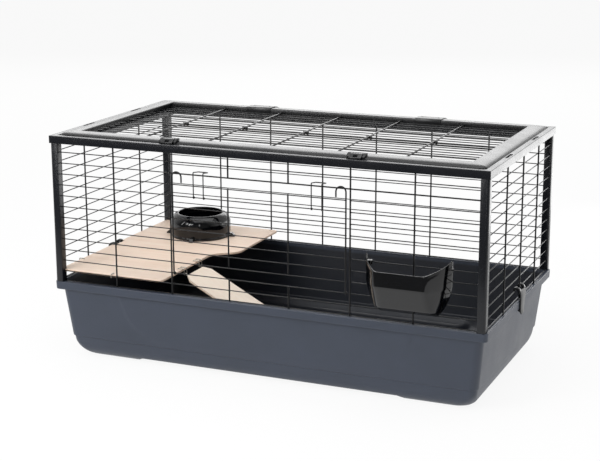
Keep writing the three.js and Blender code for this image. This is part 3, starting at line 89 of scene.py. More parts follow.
@dataclass(frozen=True)
class Plan:
    """Sizes that several sub-assemblies share, in millimetres."""

    length: float = 1000.0
    depth: float = 533.0
    tub_height: float = 180.0
    wall_height: float = 314.8
    gap: float = 0.3
    rim_overhang_x: float = 2.4
    rim_overhang_y: float = -1.0
    lip_depth: float = 18.0
    post_size: float = 18.0
    post_inset_x: float = 2.0
    post_inset_y: float = 0.5
    rail_skirt: float = 17.0
    rail_ledge: float = 14.0
    seat_drop: float = 8.5
    seat_width: float = 47.0
    seat_skirt: float = 13.5
    row_square: float = 2.5
    row_radius: float = 1.1
    bar_radius: float = 1.8
    packed_bar_radius: float = 2.1
    bar_bite: float = 0.5
    row_pitch: float = 24.6
    row_count: int = 12
    top_row_drop: float = 20.2
    bar_pitch: float = 137.7
    side_bar_pitch: float = 127.0
    panel_inset_front: float = 10.5
    panel_inset_side: float = 6.0
    lid_gap: float = 0.6
    lid_band: float = 38.0
    lid_crown: float = 14.2
    lid_corner: float = 16.0
    board: float = 5.0
    platform_rise: float = 22.0
    rack_depth: float = 63.0

    @property
    def half_x(self) -> float:
        """Half the top frame's length."""
        return self.length / 2

    @property
    def half_y(self) -> float:
        """Half the top frame's depth."""
        return self.depth / 2

    @property
    def rail_z(self) -> float:
        """The underside of the top rails."""
        return self.tub_height + self.wall_height

    @property
    def ledge_z(self) -> float:
        """The top of the rails' ledge."""
        return self.rail_z + self.rail_skirt

    @property
    def seat_z(self) -> float:
        """The flange that carries the lid."""
        return self.ledge_z - self.seat_drop

    @property
    def lid_z(self) -> float:
        """The underside of the lid."""
        return self.seat_z + self.gap

    @property
    def lid_inset(self) -> float:
        """The lid's outer edge from the top frame's outline."""
        return self.rail_ledge + self.lid_gap

    @property
    def front_row_y(self) -> float:
        """The middle of the front wall's level wires."""
        return -(self.half_y - self.panel_inset_front)

    @property
    def side_row_x(self) -> float:
        """The middle of the end walls' level wires."""
        return self.half_x - self.panel_inset_side

    @property
    def bar_offset(self) -> float:
        """From the middle of a level wire out to the middle of an upright."""
        return self.row_radius + self.bar_radius - self.bar_bite / 2

    @property
    def post_in_x(self) -> float:
        """The inner face of a post along X."""
        return self.half_x - self.post_inset_x - self.post_size

    @property
    def post_in_y(self) -> float:
        """The inner face of a post along Y."""
        return self.half_y - self.post_inset_y - self.post_size

    @property
    def rack_rear_y(self) -> float:
        """The rear edge of the hay rack, just outside the front bars."""
        packed_offset = self.row_square / 2 + self.packed_bar_radius - self.bar_bite
        return self.front_row_y - packed_offset - self.packed_bar_radius - self.gap

    @property
    def middle_y(self) -> float:
        """The middle of the whole object, hay rack included, from the tub's middle."""
        return (self.half_y + self.rack_rear_y - self.rack_depth) / 2

    @property
    def platform_z(self) -> float:
        """The underside of the platform."""
        return self.tub_height + self.platform_rise

    @property
    def platform_left(self) -> float:
        """The platform's edge at the left end."""
        return -(self.side_row_x - self.row_square / 2 - self.gap)

    @property
    def tub_floor_z(self) -> float:
        """The raised part of the tub's floor, inside."""
        return 13.5

    def row_z(self, number: float) -> float:
        """Height of a level wire counted from the top, where 1 is under the rails."""
        return self.rail_z - self.top_row_drop - (number - 1) * self.row_pitch

    def row_heights(self) -> list[float]:
        """Every level wire's height from the top, ending with the one that lies on the rim."""
        regular = [self.row_z(number + 1) for number in range(self.row_count)]
        return [*regular, self.tub_height + self.gap + self.row_radius]


PLAN = Plan()


# ------------------------------------------------------------------ curves and outlines


def fillet(points: Iterable[Sequence[float]], radius: float, steps: int = 4) -> list[Vector]:
    """Rounds the inner corners of a line of points.

    Args:
        points: The corners, in order.
        radius: How far back from a corner its bend begins.
        steps: Stretches in each bend.

    Returns:
        The line with a smooth bend at each inner corner.
    """
    corners = [Vector(point) for point in points]
    line = [corners[0]]
    for before, corner, after in zip(corners, corners[1:], corners[2:]):
        reach_in = min(radius, (before - corner).length * 0.49)
        reach_out = min(radius, (after - corner).length * 0.49)
        start = corner + (before - corner).normalized() * reach_in
        end = corner + (after - corner).normalized() * reach_out
        for step in range(steps + 1):
            share = step / steps
            line.append(start.lerp(corner, share).lerp(corner.lerp(end, share), share))
    line.append(corners[-1])
    return line


def rounded_outline(points: Outline, radius: float, steps: int = 3) -> list[tuple[float, float]]:
    """Rounds every corner of a closed flat outline.

    Args:
        points: The corners in order round the outline.
        radius: How far back from a corner its bend begins.
        steps: Stretches in each bend.

    Returns:
        The rounded outline.
    """
    corners = [Vector(point) for point in points]
    count = len(corners)
    line: list[tuple[float, float]] = []
    for index, corner in enumerate(corners):
        before = corners[index - 1]
        after = corners[(index + 1) % count]
        reach = min(radius, (before - corner).length * 0.45, (after - corner).length * 0.45)
        start = corner + (before - corner).normalized() * reach
        end = corner + (after - corner).normalized() * reach
        for step in range(steps + 1):
            share = step / steps
            point = start.lerp(corner, share).lerp(corner.lerp(end, share), share)
            line.append((point.x, point.y))
    return line


def smooth_line(points: Sequence[Sequence[float]], steps: int) -> list[tuple[float, ...]]:
    """Runs a smooth line through every given point.

    Args:
        points: Points of any dimension, in order.
        steps: Stretches between two given points.

    Returns:
        Points along the smooth line.
    """
    given = [tuple(point) for point in points]
    padded = [given[0], *given, given[-1]]
    line: list[tuple[float, ...]] = []
    for a, b, c, d in zip(padded, padded[1:], padded[2:], padded[3:]):
        for step in range(steps):
            t = step / steps
            line.append(
                tuple(
                    0.5
                    * (
                        2 * q
                        + (r - p) * t
                        + (2 * p - 5 * q + 4 * r - s) * t * t
                        + (3 * q - p - 3 * r + s) * t**3
                    )
                    for p, q, r, s in zip(a, b, c, d)
                )
            )
    line.append(given[-1])
    return line


def smooth_step(low: float, high: float, value: float) -> float:
    """A soft step from 0 at low to 1 at high."""
    share = min(max((value - low) / (high - low), 0.0), 1.0)
    return share * share * (3 - 2 * share)


def rectangle_ring(half_x: float, half_y: float, radius: float, z: float, corner_steps: int = 8) -> Ring:
    """A level rounded rectangle, counter-clockwise from the middle of its right side's top end."""
    ring: Ring = []
    for quarter in range(4):
        sign_x = 1 if quarter in (0, 3) else -1
        sign_y = 1 if quarter < 2 else -1
        for step in range(corner_steps + 1):
            angle = (quarter + step / corner_steps) * math.pi / 2
            ring.append(
                Vector(
                    (
                        sign_x * (half_x - radius) + radius * math.cos(angle),
                        sign_y * (half_y - radius) + radius * math.sin(angle),
                        z,
                    )
                )
            )
    return ring


# ------------------------------------------------------------------ forms


@dataclass
class Form:
    """A mesh in the making, in millimetres."""

    points: list[Vector] = field(default_factory=list)
    faces: list[tuple[int, ...]] = field(default_factory=list)

    def add(self, points: Iterable[Sequence[float]], faces: Iterable[Sequence[int]]) -> None:
        """Adds loose points and the faces between them."""
        start = len(self.points)
        self.points.extend(Vector(point) for point in points)
        self.faces.extend(tuple(start + index for index in face) for face in faces)

    def loft(self, rings: Sequence[Ring], caps: bool = True, around: bool = False) -> None:
        """Skins rings of equal length.

        Args:
            rings: The rings, in order.
            caps: Whether the first and last ring are closed flat.
            around: Whether the last ring joins the first.
        """
        count = len(rings[0])
        faces: list[tuple[int, ...]] = []
        last = len(rings) if around else len(rings) - 1
        for ring in range(last):
            near = ring * count
            far = ((ring + 1) % len(rings)) * count
            for k in range(count):
                n = (k + 1) % count
                faces.append((near + k, near + n, far + n, far + k))
        if caps and not around:
            faces.append(tuple(reversed(range(count))))
            end = (len(rings) - 1) * count
            faces.append(tuple(range(end, end + count)))
        self.add([point for ring in rings for point in ring], faces)

    def tube(
        self, path: Sequence[Sequence[float]], radius: float, sides: int = 12, round_ends: bool = True
    ) -> None:
        """A round wire along a path.

        Args:
            path: The wire's middle line.
            radius: The wire's radius.
            sides: Points round the wire.
            round_ends: Whether its ends are eased over.
        """
        line = [Vector(point) for point in path]
        tangents = []
        for index in range(len(line)):
            before = line[max(index - 1, 0)]
            after = line[min(index + 1, len(line) - 1)]
            tangents.append((after - before).normalized())
        side = tangents[0].orthogonal().normalized()
        rings: list[Ring] = []
        for index, (point, tangent) in enumerate(zip(line, tangents)):
            if index:
                side = tangents[index - 1].rotation_difference(tangent) @ side
            other = tangent.cross(side).normalized()
            rings.append(self._circle(point, side, other, radius, sides))
            if index == 0 and round_ends:
                rings[0:0] = self._end(line[0], tangent, side, other, radius, sides)
                rings.pop()
            if index == len(line) - 1 and round_ends:
                rings.pop()
                rings.extend(reversed(self._end(point, -tangent, side, other, radius, sides)))
        self.loft(rings)

    @staticmethod
    def _circle(middle: Vector, side: Vector, other: Vector, radius: float, sides: int) -> Ring:
        """A circle of points about a middle."""
        turns = [2 * math.pi * k / sides for k in range(sides)]
        return [middle + radius * (math.cos(turn) * side + math.sin(turn) * other) for turn in turns]

    def _end(
        self, tip: Vector, inward: Vector, side: Vector, other: Vector, radius: float, sides: int
    ) -> list[Ring]:
        """The eased end of a wire, from its tip inwards."""
        rings = []
        for shrink, depth in ((0.45, 0.0), (0.82, 0.14), (1.0, 0.5)):
            rings.append(self._circle(tip + inward * radius * depth, side, other, radius * shrink, sides))
        return rings

    def prism(self, outline: Outline, low: float, high: float, axis: Axis) -> None:
        """A flat outline carried along an axis.

        Args:
            outline: Points in the plane across the axis: (y, z), (x, z) or (x, y).
            low: Where the prism starts along the axis.
            high: Where it ends.
            axis: The direction it runs in.
        """

        def place(point: tuple[float, float], along: float) -> Vector:
            a, b = point
            if axis is Axis.X:
                return Vector((along, a, b))
            if axis is Axis.Y:
                return Vector((a, along, b))
            return Vector((a, b, along))

        self.loft([[place(point, along) for point in outline] for along in (low, high)])

    def spun(
        self,
        profile: Sequence[tuple[float, float]],
        centre: Sequence[float],
        axis: Axis,
        sides: int = 32,
        hole: bool = False,
    ) -> None:
        """A profile of (radius, distance along the axis) turned about an axis.

        Args:
            profile: The profile, which closes on itself where hole is set and else ends on the axis.
            centre: A point on the axis.
            axis: The direction of the axis.
            sides: Points round the axis.
            hole: Whether the profile is a closed ring round a hole.
        """
        rings: list[Ring] = []
        for radius, along in profile:
            ring = []
            for k in range(sides):
                turn = 2 * math.pi * k / sides
                a, b = max(radius, 0.01) * math.cos(turn), max(radius, 0.01) * math.sin(turn)
                spots = {Axis.X: (along, a, b), Axis.Y: (a, along, b), Axis.Z: (a, b, along)}
                ring.append(Vector(centre) + Vector(spots[axis]))
            rings.append(ring)
        self.loft(rings, caps=not hole, around=hole)

    def eye(
        self, centre: Sequence[float], hole: float, outer: float, width: float, axis: Axis = Axis.X
    ) -> None:
        """A round eye of bent wire about an axis."""
        ease = min(width, outer - hole) * 0.32
        half = width / 2
        profile = rounded_outline([(hole, -half), (outer, -half), (outer, half), (hole, half)], ease, 3)
        self.spun(profile, centre, axis, 20, hole=True)

    def moved(self, change: Matrix) -> None:
        """Moves all of the form by a matrix in millimetres."""
        self.points = [change @ point for point in self.points]

    def mesh(
        self, name: str, bevel: float = 0.0, bevel_steps: int = 2, sharp: float = 38.0
    ) -> bpy.types.Mesh:
        """Makes the Blender mesh.

        Args:
            name: The mesh's name.
            bevel: Width of the eased edges in millimetres, or 0 for none.
            bevel_steps: Facets in each eased edge.
            sharp: Edges bent more than this many degrees stay crisp.

        Returns:
            The mesh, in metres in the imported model's frame.
        """
        made = bmesh.new()
        shift = Vector((0.0, -PLAN.middle_y, 0.0))
        corners = [made.verts.new((point + shift) * MM) for point in self.points]
        for face in self.faces:
            if len(set(face)) > 2:
                try:
                    made.faces.new([corners[index] for index in dict.fromkeys(face)])
                except ValueError:
                    continue
        bmesh.ops.remove_doubles(made, verts=made.verts, dist=1e-6)
        bmesh.ops.recalc_face_normals(made, faces=made.faces)
        if bevel > 0:
            bent = [
                edge
                for edge in made.edges
                if len(edge.link_faces) == 2 and edge.calc_face_angle(0.0) > math.radians(30)
            ]
            bmesh.ops.bevel(
                made,
                geom=bent,
                offset=bevel * MM,
                offset_type="OFFSET",
                segments=bevel_steps,
                profile=0.5,
                affect="EDGES",
                clamp_overlap=True,
            )
        mesh = bpy.data.meshes.new(name)
        made.to_mesh(mesh)
        made.free()
        mesh.shade_smooth()
        mesh.set_sharp_from_angle(angle=math.radians(sharp))
        return mesh


def piece(
    name: str,
    mesh: bpy.types.Mesh,
    material: bpy.types.Material,
    body: str,
    stands_for: Sequence[str] = (),
) -> bpy.types.Object:
    """Puts a mesh in the scene as a piece of the object.

    Args:
        name: The piece's name.
        mesh: Its mesh, in place.
        material: Its finish.
        body: The body it rides on.
        stands_for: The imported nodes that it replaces.

    Returns:
        The piece.
    """
    made = bpy.data.objects.new(name, mesh)
    bpy.context.scene.collection.objects.link(made)
    mesh.materials.clear()
    mesh.materials.append(material)
    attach(made, body)
    if stands_for:
        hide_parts(*stands_for)
    return made


def carved(target: bpy.types.Mesh, cutter: Form, sharp: float = 38.0) -> bpy.types.Mesh:
    """Cuts a form out of a mesh.

    Args:
        target: The mesh to cut.
        cutter: The form to take away.
        sharp: Edges bent more than this many degrees stay crisp.

    Returns:
        The cut mesh.
    """
    scene = bpy.context.scene
    body = bpy.data.objects.new("carved_body", target)
    tool = bpy.data.objects.new("carving_tool", cutter.mesh("carving_tool"))
    for made in (body, tool):
        scene.collection.objects.link(made)
    cut = body.modifiers.new("cut", "BOOLEAN")
    cut.operation = "DIFFERENCE"
    cut.solver = "EXACT"
    cut.object = tool
    bpy.context.view_layer.update()
    graph = bpy.context.evaluated_depsgraph_get()
    result = bpy.data.meshes.new_from_object(body.evaluated_get(graph))
    for made in (body, tool):
        bpy.data.objects.remove(made)
    result.shade_smooth()
    result.set_sharp_from_angle(angle=math.radians(sharp))
    return result


# ------------------------------------------------------------------ node trees


@dataclass
class Graph:
    """Adds nodes to one tree and joins them."""

    tree: bpy.types.NodeTree

    def node(
        self, kind: str, settings: dict[str, object] | None = None, **values: object
    ) -> bpy.types.Node:
        """Adds a node.

        Args:
            kind: Blender's name of the node type.
            settings: Properties of the node.
            **values: Values or source sockets for its inputs, by name with _ for spaces.

        Returns:
            The node.
        """
        made = self.tree.nodes.new(kind)
        for key, value in (settings or {}).items():
            setattr(made, key, value)
        for key, value in values.items():
            socket = self._socket(made, key)
            if isinstance(value, bpy.types.NodeSocket):
                self.tree.links.new(value, socket)
            else:
                socket.default_value = value
        return made

    @staticmethod
    def _socket(made: bpy.types.Node, key: str) -> bpy.types.NodeSocket:
        """Finds an input by its name, or by its place for names such as in_1."""
        if key.startswith("in_"):
            return made.inputs[int(key[3:])]
        return made.inputs[key.replace("_", " ")]

    def math(self, operation: str, a: object, b: object = 0.0) -> bpy.types.NodeSocket:
        """Joins two values with an arithmetic step."""
        return self.node("ShaderNodeMath", {"operation": operation}, in_0=a, in_1=b).outputs[0]

    def spread(
        self, value: object, low: float, high: float, to_low: float, to_high: float
    ) -> bpy.types.NodeSocket:
        """Maps one range of values to another, clamped."""
        made = self.node(
            "ShaderNodeMapRange", Value=value, From_Min=low, From_Max=high, To_Min=to_low, To_Max=to_high
        )
        return made.outputs[0]

    def weighted(self, first: object, share: float, second: object, other: float) -> bpy.types.NodeSocket:
        """Adds two values, each times its own share."""
        return self.math("ADD", self.math("MULTIPLY", first, share), self.math("MULTIPLY", second, other))

    def part(self, vector: object, axis: str) -> bpy.types.NodeSocket:
        """Takes one part of a vector, such as its Z."""
        return self.node("ShaderNodeSeparateXYZ", Vector=vector).outputs[axis]

    def group(self, tree: bpy.types.NodeTree, **values: object) -> bpy.types.Node:
        """Places a shared effect."""
        return self.node("ShaderNodeGroup", {"node_tree": tree}, **values)

    def blend(self, share: object, first: object, second: object) -> bpy.types.NodeSocket:
        """Mixes two colours."""
        made = self.node("ShaderNodeMix", {"data_type": "RGBA"}, in_0=share, in_6=first, in_7=second)
        return made.outputs[2]


def linear(code: int) -> tuple[float, float, float, float]:
    """A colour from its written form, such as 0x59626d, in scene-linear light."""
    parts = [((code >> shift) & 255) / 255 for shift in (16, 8, 0)]
    light = [part / 12.92 if part <= 0.04045 else ((part + 0.055) / 1.055) ** 2.4 for part in parts]
    return (light[0], light[1], light[2], 1.0)


def new_group(
    name: str, inputs: dict[str, float | tuple[float, float, float]], outputs: Sequence[str]
) -> tuple[bpy.types.NodeTree, Graph, dict[str, bpy.types.NodeSocket], bpy.types.Node]:
    """Starts a shader node group.

    Args:
        name: The group's name.
        inputs: Its inputs with their usual values; a tuple makes a vector input.
        outputs: Its outputs, all plain values.

    Returns:
        The tree, a graph on it, its inputs by name, and its output node.
    """
    tree = bpy.data.node_groups.new(name, "ShaderNodeTree")
    for key, value in inputs.items():
        kind = "NodeSocketVector" if isinstance(value, tuple) else "NodeSocketFloat"
        socket = tree.interface.new_socket(name=key, in_out="INPUT", socket_type=kind)
        socket.default_value = value
    for key in outputs:
        tree.interface.new_socket(name=key, in_out="OUTPUT", socket_type="NodeSocketFloat")
    graph = Graph(tree)
    entry = graph.node("NodeGroupInput")
    leave = graph.node("NodeGroupOutput")
    return tree, graph, {key: entry.outputs[key] for key in inputs}, leave


@dataclass(frozen=True)
class Effects:
    """The shared effects, each one a node group built once."""

    grain: bpy.types.NodeTree
    wood: bpy.types.NodeTree
    dust: bpy.types.NodeTree
    scuffs: bpy.types.NodeTree

    @classmethod
    def build(cls) -> Effects:
        """Builds every effect."""
        return cls(cls._grain(), cls._wood(), cls._dust(), cls._scuffs())

    @staticmethod
    def _grain() -> bpy.types.NodeTree:
        """Fine moulded or sprayed texture: a height, and a slow change over the surface."""
        tree, graph, given, leave = new_group(
            "surface_grain", {"Place": (0.0, 0.0, 0.0), "Grain": 900.0, "Patches": 9.0}, ["Height", "Patch"]
        )
        fine = graph.node(
            "ShaderNodeTexNoise", Vector=given["Place"], Scale=given["Grain"], Detail=2.0, Roughness=0.55
        )
        pits = graph.node("ShaderNodeTexVoronoi", Vector=given["Place"], Scale=given["Grain"])
        both = graph.math("ADD", fine.outputs[0], graph.math("MULTIPLY", pits.outputs[0], 0.35))
        slow = graph.node(
            "ShaderNodeTexNoise", Vector=given["Place"], Scale=given["Patches"], Detail=4.0, Roughness=0.6
        )
        tree.links.new(both, leave.inputs["Height"])
        tree.links.new(graph.spread(slow.outputs[0], 0.3, 0.7, 0.0, 1.0), leave.inputs["Patch"])
        return tree

    @staticmethod
    def _wood() -> bpy.types.NodeTree:
        """Veneer: growth bands, fibres and dark pores that run along X of its place."""
        tree, graph, given, leave = new_group(
            "veneer_grain",
            {"Place": (0.0, 0.0, 0.0), "Bands": 10.0, "Fibres": 420.0},
            ["Tone", "Height", "Pores"],
        )
        along = graph.node("ShaderNodeMapping", Vector=given["Place"], Scale=(0.8, 7.0, 7.0))
        bend = graph.node(
            "ShaderNodeTexNoise", Vector=along.outputs[0], Scale=1.6, Detail=3.0, Distortion=0.4
        )
        bands = graph.node(
            "ShaderNodeTexNoise",
            Vector=along.outputs[0],
            Scale=given["Bands"],
            Detail=5.0,
            Roughness=0.62,
            Distortion=1.1,
        )
        narrow = graph.node("ShaderNodeMapping", Vector=given["Place"], Scale=(0.035, 1.0, 1.0))
        fibres = graph.node(
            "ShaderNodeTexNoise", Vector=narrow.outputs[0], Scale=given["Fibres"], Detail=3.0, Roughness=0.7
        )
        short = graph.node("ShaderNodeMapping", Vector=given["Place"], Scale=(0.09, 1.0, 1.0))
        pores = graph.node("ShaderNodeTexVoronoi", Vector=short.outputs[0], Scale=given["Fibres"])
        broad = graph.weighted(bend.outputs[0], 0.45, bands.outputs[0], 0.55)
        tone = graph.weighted(broad, 0.7, fibres.outputs[0], 0.3)
        dark = graph.spread(pores.outputs[0], 0.05, 0.22, 1.0, 0.0)
        height = graph.math("SUBTRACT", fibres.outputs[0], graph.math("MULTIPLY", dark, 0.6))
        tree.links.new(graph.spread(tone, 0.34, 0.66, 0.0, 1.0), leave.inputs["Tone"])
        tree.links.new(height, leave.inputs["Height"])
        tree.links.new(dark, leave.inputs["Pores"])
        return tree

    @staticmethod
    def _dust() -> bpy.types.NodeTree:
        """Fine dust that settles where a surface faces up."""
        tree, graph, given, leave = new_group(
            "settled_dust", {"Place": (0.0, 0.0, 0.0), "Patches": 60.0, "Amount": 0.3}, ["Mask"]
        )
        facing = graph.node("ShaderNodeNewGeometry").outputs["Normal"]
        up = graph.spread(graph.part(facing, "Z"), 0.35, 0.95, 0.0, 1.0)
        cloud = graph.node("ShaderNodeTexNoise", Vector=given["Place"], Scale=given["Patches"], Detail=6.0)
        broken = graph.spread(cloud.outputs[0], 0.42, 0.72, 0.0, 1.0)
        mask = graph.math("MULTIPLY", graph.math("MULTIPLY", up, broken), given["Amount"])
        tree.links.new(mask, leave.inputs["Mask"])
        return tree

    @staticmethod
    def _scuffs() -> bpy.types.NodeTree:
        """Hairline scuffs and wiped streaks in a finish."""
        tree, graph, given, leave = new_group(
            "hairline_scuffs", {"Place": (0.0, 0.0, 0.0), "Size": 30.0, "Amount": 0.5}, ["Mask"]
        )
        turned = graph.node(
            "ShaderNodeMapping", Vector=given["Place"], Rotation=(0.5, 0.3, 0.7), Scale=(1.0, 14.0, 5.0)
        )
        streak = graph.node(
            "ShaderNodeTexNoise", Vector=turned.outputs[0], Scale=given["Size"], Detail=5.0, Roughness=0.7
        )
        thin = graph.spread(streak.outputs[0], 0.58, 0.7, 0.0, 1.0)
        tree.links.new(graph.math("MULTIPLY", thin, given["Amount"]), leave.inputs["Mask"])
        return tree


# ------------------------------------------------------------------ finishes


@dataclass(frozen=True)
class CoatedFinish:
    """Moulded plastic or sprayed metal of one colour.

    Its colour drifts a little between two written colours, and it takes dust and hairline scuffs.
    Where inside is set, the faces inside a tray below its rim take that darker colour as painted shade.
    The depth of its relief and the heights of a tray's rim are in metres.
    """

    name: str
    dark: int
    light: int
    roughness: tuple[float, float]
    grain: float
    relief: float
    patches: float = 9.0
    metallic: float = 0.0
    specular: float = 0.5
    dust: float = 0.0
    dust_colour: int = 0x84878C
    scuffs: float = 0.3
    coat: float = 0.0
    # A darker colour painted as shade on a tray's inner faces below its rim, 0 for none.
    inside: int = 0
    relief_depth: float = 0.0003
    inner_weight: float = 6.0
    rim_heights: tuple[float, float] = (0.168, 0.174)

    def make(self, effects: Effects) -> bpy.types.Material:
        """Builds the material.

        Args:
            effects: The shared effects.

        Returns:
            The material.
        """
        material = bpy.data.materials.new(self.name)
        material.use_nodes = True
        tree = material.node_tree
        tree.nodes.clear()
        graph = Graph(tree)
        place = graph.node("ShaderNodeTexCoord").outputs["Object"]
        grain = graph.group(effects.grain, Place=place, Grain=self.grain, Patches=self.patches)
        scuffs = graph.group(effects.scuffs, Place=place, Amount=self.scuffs)
        dust = graph.group(effects.dust, Place=place, Amount=self.dust)
        colour = graph.blend(grain.outputs["Patch"], linear(self.dark), linear(self.light))
        # Painted shade: the inner faces of a tray below its rim are darkened towards the inside colour.
        if self.inside:
            colour = graph.blend(self._painted_inner_shade(graph, place), colour, linear(self.inside))
        dusty = graph.blend(dust.outputs["Mask"], colour, linear(self.dust_colour))
        low, high = self.roughness
        base = graph.spread(grain.outputs["Patch"], 0.0, 1.0, low, high)
        worn = graph.math("ADD", base, graph.math("MULTIPLY", scuffs.outputs["Mask"], 0.12))
        rough = graph.math("ADD", worn, graph.math("MULTIPLY", dust.outputs["Mask"], 0.5))
        depth = self.relief_depth
        bump = graph.node(
            "ShaderNodeBump", Height=grain.outputs["Height"], Strength=self.relief, Distance=depth
        )
        shader = graph.node(
            "ShaderNodeBsdfPrincipled",
            Base_Color=dusty,
            Roughness=rough,
            Normal=bump.outputs[0],
            Metallic=self.metallic,
            Specular_IOR_Level=self.specular,
            Coat_Weight=self.coat,
            Coat_Roughness=0.08,
        )
        graph.node("ShaderNodeOutputMaterial", Surface=shader.outputs[0])
        return material

    def _painted_inner_shade(self, graph: Graph, place: bpy.types.NodeSocket) -> bpy.types.NodeSocket:
        """1 on the faces that look inwards or up inside a tray, below its rim, where shade is painted.

        Args:
            graph: The tree to add to.
            place: The place on the tray, from its middle.

        Returns:
            The mask.
        """
        facing = graph.node("ShaderNodeNewGeometry").outputs["Normal"]
        weight = (-self.inner_weight, -self.inner_weight, 0.0)
        level = graph.node("ShaderNodeVectorMath", {"operation": "MULTIPLY"}, in_0=place, in_1=weight)
        product = {"operation": "DOT_PRODUCT"}
        inwards = graph.node("ShaderNodeVectorMath", product, in_0=facing, in_1=level.outputs[0])
        skin = graph.math("ADD", inwards.outputs["Value"], graph.part(facing, "Z"))
        under_rim = graph.spread(graph.part(place, "Z"), *self.rim_heights, 1.0, 0.0)
        return graph.math("MULTIPLY", graph.spread(skin, 0.0, 0.3, 0.0, 1.0), under_rim)


@dataclass(frozen=True)
class WoodFinish:
    """Bare sanded plywood: veneer on its faces, glued layers on its edges."""

    name: str
    pale: int
    deep: int
    pore: int
    layer: int
    slope: float = 0.0
    layers: float = 3.0
    thickness: float = 5.0

    def make(self, effects: Effects) -> bpy.types.Material:
        """Builds the material.

        Args:
            effects: The shared effects.

        Returns:
            The material.
        """
        material = bpy.data.materials.new(self.name)
        material.use_nodes = True
        tree = material.node_tree
        tree.nodes.clear()
        graph = Graph(tree)
        place = graph.node("ShaderNodeTexCoord").outputs["Object"]
        lay = graph.node("ShaderNodeMapping", Vector=place, Rotation=(0.0, -math.radians(self.slope), 0.0))
        wood = graph.group(effects.wood, Place=lay.outputs[0])
        tone = graph.blend(wood.outputs["Tone"], linear(self.pale), linear(self.deep))
        pores = graph.math("MULTIPLY", wood.outputs["Pores"], 0.35)
        face = graph.blend(pores, tone, linear(self.pore))
        normal = graph.node("ShaderNodeNewGeometry").outputs["Normal"]
        turn = {"rotation_type": "Y_AXIS"}
        level = graph.node("ShaderNodeVectorRotate", turn, Vector=normal, Angle=math.radians(self.slope))
        upright = graph.math("ABSOLUTE", graph.part(level.outputs[0], "Z"))
        edge = graph.spread(upright, 0.3, 0.7, 1.0, 0.0)
        depth = graph.part(lay.outputs[0], "Z")
        pitch = self.thickness * MM / self.layers
        wave = graph.math("SINE", graph.math("MULTIPLY", depth, 2 * math.pi / pitch))
        glue = graph.math("MULTIPLY", graph.spread(wave, -0.1, 0.6, 0.0, 1.0), edge)
        colour = graph.blend(graph.math("MULTIPLY", glue, 0.75), face, linear(self.layer))
        bump = graph.node("ShaderNodeBump", Height=wood.outputs["Height"], Strength=0.25, Distance=0.0004)
        shader = graph.node(
            "ShaderNodeBsdfPrincipled",
            Base_Color=colour,
            Roughness=graph.spread(wood.outputs["Tone"], 0.0, 1.0, 0.55, 0.7),
            Normal=bump.outputs[0],
            Specular_IOR_Level=0.35,
        )
        graph.node("ShaderNodeOutputMaterial", Surface=shader.outputs[0])
        return material


@dataclass(frozen=True)
class Finishes:
    """Every material of the cage, made once."""

    tub: bpy.types.Material
    frame: bpy.types.Material
    band: bpy.types.Material
    wire: bpy.types.Material
    lid_wire: bpy.types.Material
    hook: bpy.types.Material
    platform: bpy.types.Material
    ramp: bpy.types.Material
    gloss: bpy.types.Material
    clip: bpy.types.Material

    @classmethod
    def build(cls) -> Finishes:
        """Makes every material."""
        effects = Effects.build()
        return cls(
            # The tub's inside colour is painted shade on its inner faces, not a second plastic.
            tub=CoatedFinish(
                "tub_slate_plastic", 0x303744, 0x353C4A, (0.38, 0.48), 1500, 0.35,
                dust=0.03, scuffs=0.5, inside=0x10151F,
            ).make(effects),
            frame=CoatedFinish(
                "frame_black_satin", 0x0B0D13, 0x0F1117, (0.24, 0.31), 1800, 0.15,
                specular=0.42, dust=0.02, scuffs=0.4,
            ).make(effects),
            band=CoatedFinish(
                "lid_band_black_satin", 0x08090B, 0x0B0C0F, (0.24, 0.31), 1800, 0.15,
                specular=0.42, dust=0.02, scuffs=0.4,
            ).make(effects),
            wire=CoatedFinish(
                "wire_black_lacquer", 0x060709, 0x090A0D, (0.28, 0.38), 2200, 0.3,
                patches=40, specular=0.36, scuffs=0.5,
            ).make(effects),
            lid_wire=CoatedFinish(
                "lid_wire_black_lacquer", 0x060709, 0x090A0C, (0.22, 0.32), 2200, 0.3,
                patches=40, scuffs=0.5,
            ).make(effects),
            hook=CoatedFinish(
                "hook_bright_zinc", 0x9A958D, 0xB4B0A8, (0.26, 0.42), 1600, 0.3, patches=120, metallic=1.0
            ).make(effects),
            platform=WoodFinish(
                "platform_birch_ply", pale=0xF8E5D4, deep=0xEBD0BA, pore=0xCDA98D, layer=0xC2966E
            ).make(effects),
            ramp=WoodFinish(
                "ramp_birch_ply", pale=0xFCEFDF, deep=0xF4E1CE, pore=0xD8B89A, layer=0xCCA47C, slope=28.0
            ).make(effects),
            gloss=CoatedFinish(
                "gloss_black_plastic", 0x030305, 0x050608, (0.05, 0.09), 500, 0.04,
                patches=14, specular=0.45, scuffs=0.12,
            ).make(effects),
            clip=CoatedFinish(
                "clip_black_nylon", 0x060709, 0x0A0B0E, (0.24, 0.32), 1700, 0.25, scuffs=0.4
            ).make(effects),
        )


# ------------------------------------------------------------------ sub-assemblies


@dataclass
class SubAssembly:
    """A part of the cage that builds and dresses its own pieces."""

    finishes: Finishes

    def build(self) -> list[bpy.types.Object]:
        """Builds every piece of the sub-assembly."""
        raise NotImplementedError


